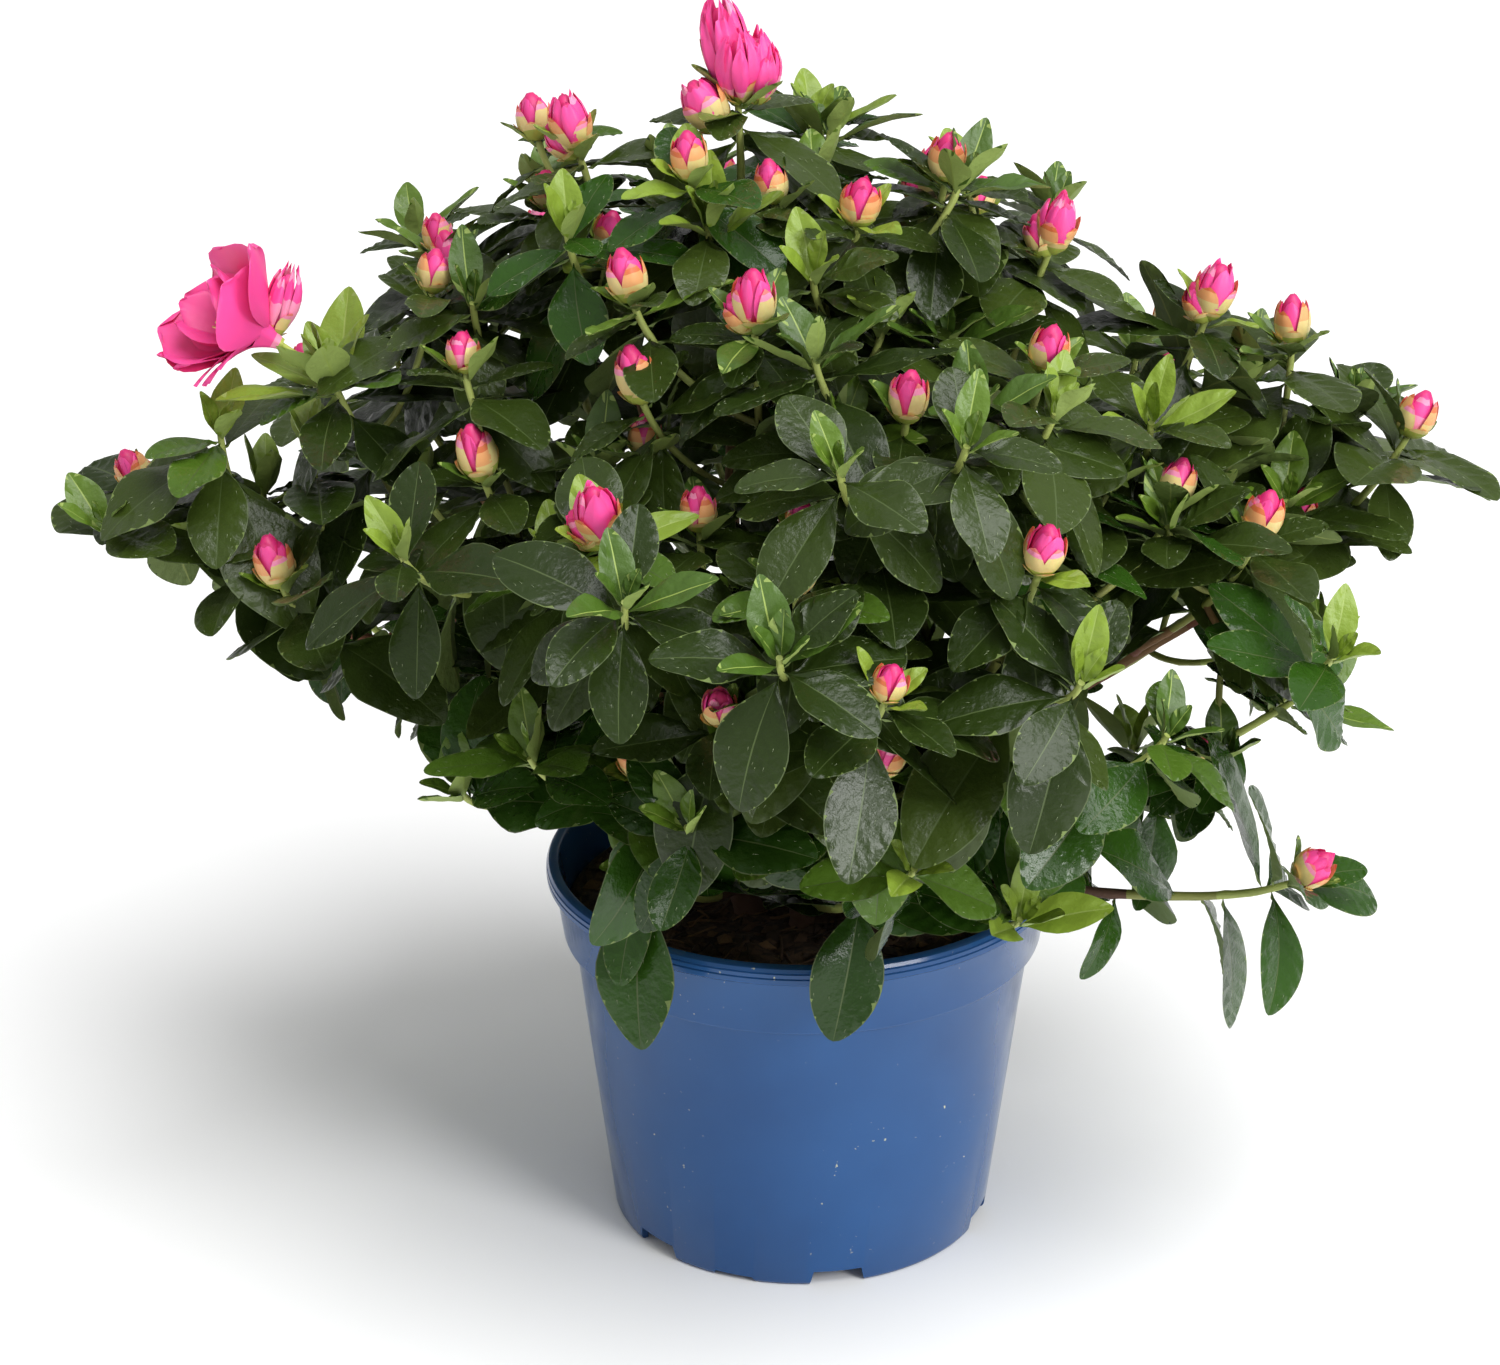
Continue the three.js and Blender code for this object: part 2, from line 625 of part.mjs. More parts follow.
function growFork(mass) {
  const carrier = limbs[mass.from];
  const start = carrier.chords.pointAt(mass.at / carrier.share);
  const along = carrier.chords.tangentAt(mass.at / carrier.share);
  const tip = vec(...mass.tip);
  const leaving = tip.clone().sub(start);
  leaving.addScaledVector(along, -leaving.dot(along)).normalize();
  const way = wayTo(start, leaving, tip, tipDirection(tip, mass.lean), FORK_RISE);
  const law = radiusLaw(Math.min(carrier.radiusAt(mass.at) * FORK_RADIUS_SHARE, MOST_FORK_RADIUS));
  if (mass.bough) addLimb(`bough_${mass.name}`, way, law, mass.bough, carrier);
  return { way, radiusAt: law, from: mass.bough ?? 0, carrier: mass.bough ? null : carrier };
}

// Shoots, leaves and buds

// The side shoots of a mass: each forks from the lead, where its tip is placed or by the rule for its place,
// and turns up to the light.
function sideShootsOf(mass, index, lead) {
  const shoots = [];
  const count = mass.shoots ?? SIDE_SHOOTS;
  for (let k = 0; k < count; k += 1) {
    const draw = seeded(1000 * (index + 1) + k);
    const whole = SIDE_SHOOT_TOP - SIDE_SHOOT_STEP * k + 0.06 * draw();
    const at = Math.max((whole - lead.from) / (1 - lead.from), 0.05);
    const middle = lead.chords.pointAt(at);
    const along = lead.chords.tangentAt(at);
    const placed = mass.sides?.[k];
    const { side, heading, length } = placed
      ? headingTo(vec(...placed), middle, along)
      : headingByRule(mass.roll + k * GOLDEN_ANGLE, middle, along, draw);
    const tip = middle.clone().addScaledVector(heading, length);
    const arriving = heading.multiplyScalar(0.6).add(UP).normalize();
    const way = wayTo(middle, side, tip, arriving, SIDE_SHOOT_RISE);
    const chords = new Chords(way, 0, 1, SIDE_SHOOT_CHORDS);
    const radiusAt = radiusLaw(lead.radiusAt(at) * SIDE_SHOOT_GIRTH);
    const bud = placed ? placed[3] : draw() < SHARE_WITH_BUD ? 0.7 + 0.3 * draw() : 0;
    shoots.push({ chords, radiusAt, bud });
  }
  return shoots;
}

// How a side shoot leaves its lead, straight out to one side, and where it heads to reach its placed tip.
function headingTo(tip, middle, along) {
  const heading = tip.sub(middle);
  const length = heading.length();
  heading.normalize();
  const side = heading.clone().addScaledVector(along, -heading.dot(along)).normalize();
  return { side, heading, length };
}

function headingByRule(turn, middle, along, draw) {
  const flat = new THREE.Vector3().crossVectors(along, outwardFrom(middle)).normalize();
  const side = flat.applyAxisAngle(along, rad(turn + 30 * draw()));
  const length = SIDE_SHOOT_LENGTH * (0.8 + 0.5 * draw());
  const heading = along.clone().multiplyScalar(SIDE_SHOOT_HEADING.along);
  heading.addScaledVector(side, SIDE_SHOOT_HEADING.side);
  heading.addScaledVector(UP, SIDE_SHOOT_HEADING.up).normalize();
  return { side, heading, length };
}

// Where leaf k of a shoot stands, counted from the whorl under the bud downward, and how it is turned.
function leafPlace(mass, shoot, k, seed, aside, scale) {
  const draw = seeded(seed * 97 + k * 13 + 5);
  const under = Math.max(k - WHORL_PLACES + 1, 0);
  const below = under > 0 ? LOWER_START + LOWER_STEP * under : WHORL_START + WHORL_STEP * k;
  const at = 1 - (below + 2 * draw()) / shoot.chords.length;
  if (at < 0.04) return null;
  const base = shoot.chords.pointAt(at);
  const axis = shoot.chords.tangentAt(at);
  const reference = new THREE.Vector3().crossVectors(axis, LEAF_TURN_START).normalize();
  const turn = rad(mass.roll + seed * 61 + k * GOLDEN_ANGLE + 24 * (draw() - 0.5) + aside);
  const across = reference.applyAxisAngle(axis, turn);
  const fall = LEAF_LIFT_STEP * Math.min(k, WHORL_PLACES - 1);
  const lift = rad(LEAF_LIFT - fall + 16 * (draw() - 0.5) - (mass.droop ?? 0));
  const along = across.clone().multiplyScalar(Math.cos(lift)).addScaledVector(axis, Math.sin(lift));
  along.addScaledVector(UP, -LEAF_HANG).normalize();
  const grown = Math.max(YOUNG_SIZE + GROWTH_STEP * Math.min(k, 4) - 0.05 * under, LEAST_SIZE);
  const height = THREE.MathUtils.clamp(base.z, LOW_LEAVES.height, HIGH_LEAVES.height);
  const up = (height - LOW_LEAVES.height) / (HIGH_LEAVES.height - LOW_LEAVES.height);
  const wild = lerp(LOW_LEAVES.size, HIGH_LEAVES.size, up) * (0.82 + 0.36 * draw());
  const size = scale * LEAF_LENGTH * grown * wild * (mass.leaf ?? 1);
  return { base, along, axis, size, width: size * LEAF_WIDTH_SHARE * (0.9 + 0.2 * draw()) };
}

// A leaf as a thin blade of six faces with a keel for its midrib, its root sunk in the shoot. "extra"
// thickens it for the test of what lies near.
function leafBlade({ base, along, axis, size, width }, extra = 0) {
  const across = new THREE.Vector3().crossVectors(axis, along).normalize();
  const face = new THREE.Vector3().crossVectors(across, along).normalize();
  if (face.dot(axis) < 0) face.negate();
  const blade = new THREE.SphereGeometry(1, 3, 2);
  const position = blade.attributes.position;
  const local = new THREE.Vector3();
  const reach = size * LEAF_ENLARGEMENT;
  const half = (width * LEAF_ENLARGEMENT) / 2 + extra;
  for (let i = 0; i < position.count; i += 1) {
    local.fromBufferAttribute(position, i);
    const isKeel = local.x < -0.9;
    const forward = (LEAF_WIDEST + local.y * (local.y > 0 ? 1 - LEAF_WIDEST : LEAF_WIDEST)) * reach;
    const sag = LEAF_SAG * reach * (local.y > 0 ? local.y : 0);
    const lift = isKeel ? -LEAF_THICKNESS - extra : Math.abs(local.z) * (extra + LEAF_FOLD * reach) - sag;
    const point = base.clone().addScaledVector(along, forward - LEAF_ROOT_DEPTH);
    point.addScaledVector(across, Math.sign(Math.round(local.z * 9)) * half).addScaledVector(face, lift);
    position.setXYZ(i, point.x, point.y, point.z);
  }
  return outwardSolid(blade);
}

// The solid of a shape whose faces may have been turned inside out.
function outwardSolid(geometry) {
  const solid = solidOf(geometry);
  if (solid.volume() > 0) return solid;
  const mirrored = geometry.clone();
  mirrored.index.array.reverse();
  return solidOf(mirrored);
}

// The open flower: a tube on a thin stalk, with a ring of broad petals that spread from it.
function flowerAt(shoot) {
  const throat = shoot.chords.pointAt(1);
  const facing = vec(...FLOWER_FACING).normalize();
  const turn = new THREE.Quaternion().setFromUnitVectors(UP, facing);
  const tube = latheAroundZ(FLOWER_TUBE, PETALS).applyQuaternion(turn);
  let flower = solidOf(tube.translate(throat.x, throat.y, throat.z));
  const right = new THREE.Vector3().crossVectors(facing, UP).normalize();
  for (let k = 0; k < PETALS; k += 1) {
    const across = right.clone().applyAxisAngle(facing, (2 * Math.PI * k) / PETALS);
    const along = across.multiplyScalar(Math.cos(PETAL_LIFT)).addScaledVector(facing, Math.sin(PETAL_LIFT));
    const base = throat.clone().addScaledVector(facing, PETAL_START);
    flower = flower.add(leafBlade({ base, along, axis: facing, size: PETAL_LENGTH, width: PETAL_WIDTH }));
  }
  return flower;
}

// Building the shrub. Every piece that stands is kept with its owner, so that a later one can be tested.

const standing = [];

function stand(owner, solid) {
  standing.push({ owner, solid, box: solid.boundingBox() });
}

function boxesMeet(a, b) {
  return [0, 1, 2].every((i) => a.min[i] <= b.max[i] && b.min[i] <= a.max[i]);
}

// Whether a piece keeps clear of every standing piece but its owner's own.
function isClear(owner, solid) {
  const box = solid.boundingBox();
  const near = standing.filter((piece) => piece.owner !== owner && boxesMeet(piece.box, box));
  return near.every((piece) => piece.solid.intersect(solid).isEmpty());
}

// The points of a leaf that are tested against the sky: along its midrib and at its widest.
function leafProbes({ base, along, axis, size, width }) {
  const across = new THREE.Vector3().crossVectors(axis, along).setLength(width / 2);
  const widest = base.clone().addScaledVector(along, LEAF_WIDEST * size);
  const midrib = [0.4, LEAF_WIDEST, 0.8, 1].map((share) => base.clone().addScaledVector(along, share * size));
  return [...midrib, widest.clone().add(across), widest.clone().sub(across)];
}

// The leaf for a place on a shoot: as drawn, or else turned aside and smaller, or none where nothing fits.
function leafThatFits(plant, shoot, k, s) {
  for (const { aside, scale } of LEAF_TRIES) {
    const leaf = leafPlace(plant.mass, shoot, k, plant.index * 7 + s, aside, scale);
    if (!leaf) return null;
    const tip = leaf.base.clone().addScaledVector(leaf.along, leaf.size);
    const outer = { ...leaf, base: leaf.base.clone().addScaledVector(leaf.along, LEAF_STALK) };
    const isInside = (s === 0 || isInCrown(tip)) && !leafProbes(leaf).some(showsAsSky);
    const isFree = isInside && isClear(plant.mass.name, leafBlade(leaf, CLEARANCE));
    if (isFree && isClear(null, leafBlade(outer))) return leafBlade(leaf);
  }
  return null;
}

function makeShrub() {
  const grown = MASSES.filter((mass) => mass.at === undefined);
  const forked = MASSES.filter((mass) => mass.at !== undefined);
  const leads = grown.map((mass) => ({ mass, lead: growStem(mass.from, mass) }));
  forked.forEach((mass) => leads.push({ mass, lead: growFork(mass) }));
  Object.entries(limbs).forEach(([name, limb]) => stand(name, limb.solid));

  // The lead of each mass, just past its limb's end, and then the side shoots that find room.
  const plants = leads.map(({ mass, lead }) => {
    const from = lead.from > 0 ? lead.from + CLEARANCE / lead.way.getLength() : 0;
    const chords = new Chords(lead.way, from, 1, LEAD_CHORDS);
    const radiusAt = (along) => lead.radiusAt(lerp(from, 1, along));
    let solid = shootAlong(chords, radiusAt, mass.flower ? 0 : (mass.bud ?? 1));
    if (lead.carrier) solid = wholePiece(solid.subtract(lead.carrier.room));
    stand(mass.name, solid);
    return { mass, index: MASSES.indexOf(mass), shoots: [{ chords, radiusAt, from }], parts: [solid] };
  });
  plants.forEach((plant) => {
    sideShootsOf(plant.mass, plant.index, plant.shoots[0]).forEach((shoot) => {
      const solid = shootAlong(shoot.chords, shoot.radiusAt, shoot.bud);
      const tip = shoot.chords.pointAt(1);
      if (!isInCrown(tip) || showsAsSky(tip) || !isClear(plant.mass.name, solid)) return;
      stand(plant.mass.name, solid);
      plant.parts.push(solid);
      plant.shoots.push(shoot);
    });
  });
  const opened = plants.find((plant) => plant.mass.flower);
  const flower = flowerAt(opened.shoots[0]);
  stand(opened.mass.name, flower);
  opened.parts.push(flower);

  // Leaves are dealt out in rounds, so that no mass crowds its neighbours out.
  for (let k = 0; k < LEAF_PLACES; k += 1) {
    plants.forEach((plant) => {
      plant.shoots.forEach((shoot, s) => {
        shoot.leaves ??= 0;
        if (shoot.leaves >= (s > 0 ? LEAVES_ON_SIDE_SHOOT : LEAVES_ON_LEAD)) return;
        const blade = leafThatFits(plant, shoot, k, s);
        if (!blade) return;
        stand(plant.mass.name, blade);
        plant.parts.push(blade);
        shoot.leaves += 1;
      });
    });
  }
  return plants.map(({ mass, parts }) => {
    const fused = wasm.Manifold.union(parts).simplify(LEAST_EDGE);
    return [mass.name, wholePiece(fused)];
  });
}

function namedMesh(name, solid, finish) {
  const mesh = new THREE.Mesh(geometryOf(solid), new THREE.MeshStandardMaterial(finish));
  mesh.name = name;
  return mesh;
}

const azalea = new THREE.Group();
const pot = makePot();
const soil = makeSoil();
stand('pot', pot);
stand('soil', soil);
azalea.add(namedMesh('pot', pot, FINISH.pot), namedMesh('soil', soil, FINISH.soil));
const masses = makeShrub();
Object.entries(limbs).forEach(([name, limb]) => azalea.add(namedMesh(name, limb.solid, FINISH.bark)));
masses.forEach(([name, solid]) => azalea.add(namedMesh(name, solid, FINISH.leaf)));

export default azalea;
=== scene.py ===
"""A potted azalea: many woody stems, leafy shoots with whorls under pink buds, one open double flower, and a
blue plastic pot. Growth is worked out in millimetres by the rule that the solids follow, and the meshes are in
metres."""

import math

import bpy
import numpy as np
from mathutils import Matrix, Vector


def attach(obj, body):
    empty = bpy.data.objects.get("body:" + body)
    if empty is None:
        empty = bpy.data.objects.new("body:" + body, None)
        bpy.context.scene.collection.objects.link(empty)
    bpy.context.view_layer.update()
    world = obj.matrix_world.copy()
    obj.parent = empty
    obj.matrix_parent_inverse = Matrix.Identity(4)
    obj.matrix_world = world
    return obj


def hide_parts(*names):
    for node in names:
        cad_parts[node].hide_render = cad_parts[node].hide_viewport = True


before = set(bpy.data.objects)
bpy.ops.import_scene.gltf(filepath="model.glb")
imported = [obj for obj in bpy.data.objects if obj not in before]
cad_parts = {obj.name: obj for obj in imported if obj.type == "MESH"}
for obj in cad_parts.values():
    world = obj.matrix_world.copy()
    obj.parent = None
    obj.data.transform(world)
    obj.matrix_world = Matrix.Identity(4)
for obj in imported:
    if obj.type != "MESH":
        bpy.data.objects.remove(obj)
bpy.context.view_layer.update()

MM = 0.001
UP = np.array([0.0, 0.0, 1.0])
GOLDEN_ANGLE = 137.5
# A circle round an axis starts square to the axis and to one of these.
TUBE_REFERENCE = np.array([0.31, 0.87, 0.39])
WHORL_REFERENCE = np.array([0.3, -0.9, 0.1])

# Pot and soil
POT_HEIGHT, RIM_RADIUS, LIP_HEIGHT = 128, 85, 6
COLLAR_TOP_RADIUS, COLLAR_FOOT_RADIUS, COLLAR_HEIGHT = 82.4, 79.6, 26
BODY_TOP_RADIUS, FOOT_RADIUS, WALL = 76.2, 63.4, 1.8
FLOOR_HEIGHT, FLOOR_THICKNESS, CENTRE_PAD_RADIUS = 7, 2, 16
NOTCH_COUNT, NOTCH_WIDTH, NOTCH_HEIGHT, NOTCH_TURN = 6, 16, 5.5, 10.5
NICK_WIDTH, NICK_HEIGHT, NICK_TURN = 13, 2, -21
SOIL_TOP, SOIL_EDGE_DROP, SOIL_EDGE_RADIUS = 116, 5, 78.0

# The crown's reach from its middle: height and radius
CROWN_MIDDLE = np.array([-8.0, 8.0, 0.0])
CROWN_REACH = np.array(
    [(140, 120), (170, 165), (205, 200), (240, 232), (275, 240), (310, 200), (345, 138), (375, 75), (405, 10)]
)

# The crown's outline as it is seen from the front, a little from above: height, then the reach to the left
# and to the right at the crown's middle. Between its shoots the sky shows in round gaps: place and radius.
STANDPOINT = np.array([-17.0, -1300.0, 753.0])
OUTLINE = np.array([
    (62, -74, 158), (77, -78, 176), (90, -80, 182), (103, -84, 210), (116, -86, 206), (129, -90, 198),
    (142, -102, 170), (155, -126, 165), (167, -132, 188), (180, -160, 182), (192, -200, 176),
    (205, -200, 178), (217, -200, 164), (229, -208, 186), (241, -236, 206), (254, -253, 228),
    (265, -230, 222), (277, -216, 204), (289, -190, 198), (301, -168, 182), (313, -176, 168),
    (324, -168, 152), (336, -150, 142), (347, -122, 86), (358, -96, 66), (370, -94, 50), (381, -90, 26),
    (392, -78, 6), (405, -46, -4), (420, -36, -4), (428, -20, -18),
])
SKY_GAPS = np.array([
    (164, 152, 12), (151, 166, 10), (181, 148, 12), (102, 175, 9), (118, 206, 8), (111, 196, 7),
    (133, 183, 7), (119, 86, 13), (84, 88, 7), (136, 131, 7), (143, 115, 6), (187, 185, 9), (173, 218, 8),
    (-205, 287, 9), (-177, 271, 7), (-168, 265, 6), (-147, 323, 7), (-141, 177, 7), (-129, 163, 6),
    (-30, 102, 9), (-12, 101, 8), (10, 101, 7), (-76, 132, 8), (-71, 118, 7),
])

# Growth
FOOT_DEPTH, FOOT_FLARE, FLARE_HEIGHT = 6, 0.45, 9
STEM_SPREAD, TIP_LEAN, ARRIVAL_SHARE, FORK_RISE = 0.45, 0.35, 0.33, 0.22
FORK_RADIUS_SHARE, MOST_FORK_RADIUS = 0.72, 2.6
TAPER_POWER, SHOOT_TIP_RADIUS = 0.8, 1.1
SIDE_SHOOTS, SOLID_SIDE_SHOOTS, SIDE_SHOOT_LENGTH, SIDE_GIRTH, SIDE_BUD_CHANCE = 4, 2, 60, 0.85, 0.25
FINE_LENGTH, FINE_GIRTH, FINE_BUD_CHANCE = 0.72, 0.8, 0.12
WAY_SAMPLES, POT_CLEARANCE, WALL_CLEARANCE = 201, 2.5, 3.2

# Stems: the region of leaves that each carries, its foot, its radius, the share of it that bears no leaves, and
# how far the direction at its foot carries.
STEMS = {
    "centre": ("crown", (-4, 8), 4.6, 0.62, 0.5),
    "left": ("left", (-24, 8), 4.0, 0.6, 0.42),
    "front_left": ("front", (-17, -14), 3.8, 0.6, 0.42),
    "front": ("front", (0, -24), 3.4, 0.55, 0.42),
    "front_right": ("front", (16, -10), 3.8, 0.6, 0.45),
    "right": ("right", (24, 10), 4.2, 0.6, 0.4),
    "low_right": ("right", (34, -22), 2.6, 0.45, 0.28),
    "back_left": ("back_left", (-16, 28), 3.8, 0.6, 0.42),
    "back": ("back_left", (2, 34), 3.6, 0.6, 0.42),
    "back_right": ("back_right", (19, 29), 3.8, 0.6, 0.42),
}

# Masses of foliage: name, the stem that carries it, where it forks off (None at the stem's own tip), its tip,
# and what else sets it apart.
MASSES = [
    ("crest", "centre", None, (-21, -10, 388), dict(
        lean=0.1, roll=230, bud=1.6, leaf=1.15, droop=6, young=5,
        side=(-35, -40, 372, 0.85), next=(8, 30, 367, 0))),
    ("crest_left", "centre", 0.5, (-70, -12, 372), dict(
        bough=0.45, roll=20, bud=1.15, side=(-83, 5, 371, 0.9), next=(-79, -5, 352, 0.7))),
    ("crest_right", "centre", 0.56, (38, 5, 350), dict(roll=180, bud=1.25, open=0.3)),
    ("crest_back", "centre", 0.44, (-25, 72, 328), dict(roll=80)),
    ("upper_right", "centre", 0.38, (15, -50, 361), dict(bough=0.45, roll=300, side=(-10, -30, 361, 0.7))),
    ("front_high", "centre", 0.3, (-16, -90, 342), dict(
        bough=0.5, roll=250, bud=1.15, open=0.2, side=(-52, -70, 343, 0.95))),
    ("left_far", "left", None, (-212, 0, 258), dict(lean=0.6, roll=30, bud=0.8, leaf=1.2)),
    ("flower_shoot", "left", 0.5, (-147, -30, 306), dict(bough=0.5, roll=70, shoots=1, flower=True, young=10)),
    ("upper_left", "left", 0.36, (-110, 5, 328), dict(
        bough=0.4, roll=60, bud=0.85, side=(-115, 10, 333, 0.6), next=(-61, -20, 343, 0.75))),
    ("left_middle", "left", 0.42, (-163, -48, 243), dict(roll=120, droop=-15)),
    ("front_left", "front_left", None, (-60, -130, 290), dict(
        lean=0.5, roll=220, bud=1.25, side=(-49, -75, 296, 0.7))),
    ("middle_left", "front_left", 0.5, (-98, -70, 287), dict(
        bough=0.45, roll=120, region="left", side=(-104, -50, 314, 0.75))),
    ("low_left", "front_left", 0.36, (-50, -110, 207), dict(
        lean=0.6, roll=260, bud=0.95, droop=-5, side=(-34, -105, 199, 0))),
    ("low_left_outer", "front_left", 0.24, (-88, -50, 202), dict(
        lean=0.5, roll=130, bud=0.95, droop=-15, region="left")),
    ("front_middle", "front", None, (-4, -150, 283), dict(
        lean=0.45, roll=330, side=(-2, -115, 286, 0.65), next=(-3, -125, 241, 0.75))),
    ("low_middle", "front", 0.42, (-26, -140, 238), dict(lean=0.6, roll=320, bud=0.7)),
    ("low_front", "front", 0.3, (22, -135, 219), dict(lean=0.6, roll=350, droop=30, leaf=1.1)),
    ("rim_front", "front", 0.12, (18, -88, 158), dict(
        lean=0.9, roll=180, shoots=0, droop=35, bud=0, leaf=1.2)),
    ("rim_left", "front_left", 0.1, (-52, -74, 158), dict(
        lean=1, roll=0, shoots=0, droop=40, bud=0, leaf=1.35)),
    ("front_right", "front_right", None, (66, -138, 284), dict(lean=0.5, roll=330, side=(111, -65, 276, 0.8))),
    ("front_upper", "front_right", 0.45, (28, -112, 321), dict(bough=0.5, roll=200, bud=0.9)),
    ("right_middle", "front_right", 0.54, (70, -80, 325), dict(roll=45, side=(54, -85, 296, 0.8))),
    ("low_right_inner", "front_right", 0.3, (66, -108, 218), dict(lean=0.7, roll=310, bud=0.8, leaf=0.88)),
    ("right_tip", "right", None, (192, 0, 275), dict(
        lean=0.5, roll=80, droop=-15, leaf=1.2, side=(153, -5, 307, 0.85), next=(155, -20, 251, 0.75))),
    ("right_high", "right", 0.3, (74, -28, 345), dict(bough=0.45, roll=10, bud=1.15)),
    ("right_peak", "right", 0.46, (124, -20, 321), dict(
        bough=0.45, roll=250, bud=1.1, side=(129, -10, 297, 0.6))),
    ("right_outer", "right", 0.52, (138, -62, 265), dict(roll=67, droop=-12, side=(126, -15, 269, 0.75))),
    ("right_arch", "right", 0.18, (160, -28, 198), dict(bough=0.5, lean=1.2, roll=52, bud=0, leaf=0.78)),
    ("low_right_small", "low_right", 0.27, (128, 0, 160), dict(lean=1, roll=120, bud=0.8, leaf=0.72)),
    ("low_right", "low_right", None, (156, -60, 147), dict(
        lean=1.6, roll=324, shoots=0, droop=-22, leaf=0.92, places=20)),
    ("back_left", "back_left", None, (-140, 118, 262), dict(lean=0.5, roll=60)),
    ("back_left_low", "back_left", 0.28, (-165, 80, 195), dict(lean=0.9, roll=160)),
    ("back_left_high", "back_left", 0.46, (-84, 82, 308), dict(roll=300)),
    ("back", "back", None, (-12, 172, 275), dict(lean=0.5, roll=45)),
    ("back_low", "back", 0.3, (22, 165, 192), dict(lean=0.9, roll=220, region="back_right")),
    ("back_right", "back_right", None, (125, 118, 266), dict(lean=0.5, roll=100)),
    ("back_right_low", "back_right", 0.28, (155, 95, 195), dict(lean=0.9, roll=20)),
    ("back_right_high", "back_right", 0.46, (56, 84, 302), dict(roll=250)),
]


# Numbers and directions


def seeded(seed):
    """A generator of numbers from 0 to 1 that always gives the same run for the same seed."""
    state = int(seed) & 0xFFFFFFFF

    def draw():
        nonlocal state
        state = (state + 0x6D2B79F5) & 0xFFFFFFFF
        t = ((state ^ (state >> 15)) * (state | 1)) & 0xFFFFFFFF
        t ^= (t + (((t ^ (t >> 7)) * (t | 61)) & 0xFFFFFFFF)) & 0xFFFFFFFF
        return ((t ^ (t >> 14)) & 0xFFFFFFFF) / 4294967296

    return draw


def unit(v):
    return v / np.linalg.norm(v)


def turned(v, axis, angle):
    """A vector turned round a unit axis, in radians."""
    return v * math.cos(angle) + np.cross(axis, v) * math.sin(angle) + axis * (axis @ v) * (1 - math.cos(angle))


def square_to(axis, v):
    """The unit vector square to a unit axis that lies nearest to v."""
    return unit(v - axis * (v @ axis))


def outward_from(point):
    away = point - CROWN_MIDDLE
    return unit(np.array([away[0], away[1], 0.0]))


def is_in_crown(point):
    if not CROWN_REACH[0, 0] <= point[2] < CROWN_REACH[-1, 0]:
        return False
    reach = np.interp(point[2], CROWN_REACH[:, 0], CROWN_REACH[:, 1])
    return math.hypot(point[0] - CROWN_MIDDLE[0], point[1] - CROWN_MIDDLE[1]) < reach


def shows_as_sky(points):
    """Whether any of the points would stand where the sky shows, as seen from the front."""
    share = STANDPOINT[1] / (STANDPOINT[1] - points[:, 1])
    seen = STANDPOINT + share[:, None] * (points - STANDPOINT)
    left, right = (np.interp(seen[:, 2], OUTLINE[:, 0], OUTLINE[:, side]) for side in (1, 2))
    if np.any((seen[:, 0] < left) | (seen[:, 0] > right) | (seen[:, 2] > OUTLINE[-1, 0])):
        return True
    away = np.hypot(seen[:, None, 0] - SKY_GAPS[:, 0], seen[:, None, 2] - SKY_GAPS[:, 1])
    return bool(np.any(away < SKY_GAPS[:, 2]))


def hits_pot(points):
    """Whether any of the points is within the pot's wall or the soil, or close to them."""
    r, z = np.hypot(points[:, 0], points[:, 1]), points[:, 2]
    solid = (r > BODY_TOP_RADIUS - WALL_CLEARANCE) | (z < SOIL_TOP + 1)
    return bool(np.any((z < POT_HEIGHT + 2) & (r < RIM_RADIUS + POT_CLEARANCE) & solid))


class Way:
    """A cubic curve from a start to a tip, read by the share of its length."""

    def __init__(self, start, leaving, tip, arriving, rise):
        span = np.linalg.norm(tip - start)
        controls = [start, start + leaving * span * rise, tip - arriving * span * ARRIVAL_SHARE, tip]
        t = np.linspace(0, 1, WAY_SAMPLES)[:, None]
        weights = [(1 - t) ** 3, 3 * t * (1 - t) ** 2, 3 * t * t * (1 - t), t**3]
        self.points = sum(w * c for w, c in zip(weights, controls))
        steps = np.linalg.norm(np.diff(self.points, axis=0), axis=1)
        self.travel = np.concatenate([[0], np.cumsum(steps)])
        self.length = self.travel[-1]
        self.travel /= self.length
        slopes = np.gradient(self.points, axis=0)
        self.slopes = slopes / np.linalg.norm(slopes, axis=1)[:, None]

    def read(self, rows, share):
        return np.array([np.interp(share, self.travel, column) for column in rows.T])

    def at(self, share):
        return self.read(self.points, share)

    def along(self, share):
        return unit(self.read(self.slopes, share))


def radius_law(start):
    return lambda share: start + (SHOOT_TIP_RADIUS - start) * share**TAPER_POWER


# Growing the shrub


class Shoot:
    """A stretch of a way that bears leaves and may end in a bud. A lead shoot has order 0."""

    def __init__(self, mass, order, way, first, radius_at, bud):
        self.name, self.more = mass[0], mass[4]
        self.mass, self.index, self.order = mass, MASSES.index(mass), order
        self.way, self.first, self.radius_at, self.bud = way, first, radius_at, bud
        self.length = way.length * (1 - first)
        self.leaves = 0

    def on_way(self, share):
        return self.first + (1 - self.first) * share

    def at(self, share):
        return self.way.at(self.on_way(share))

    def along(self, share):
        return self.way.along(self.on_way(share))

    def radius(self, share):
        return self.radius_at(self.on_way(share))


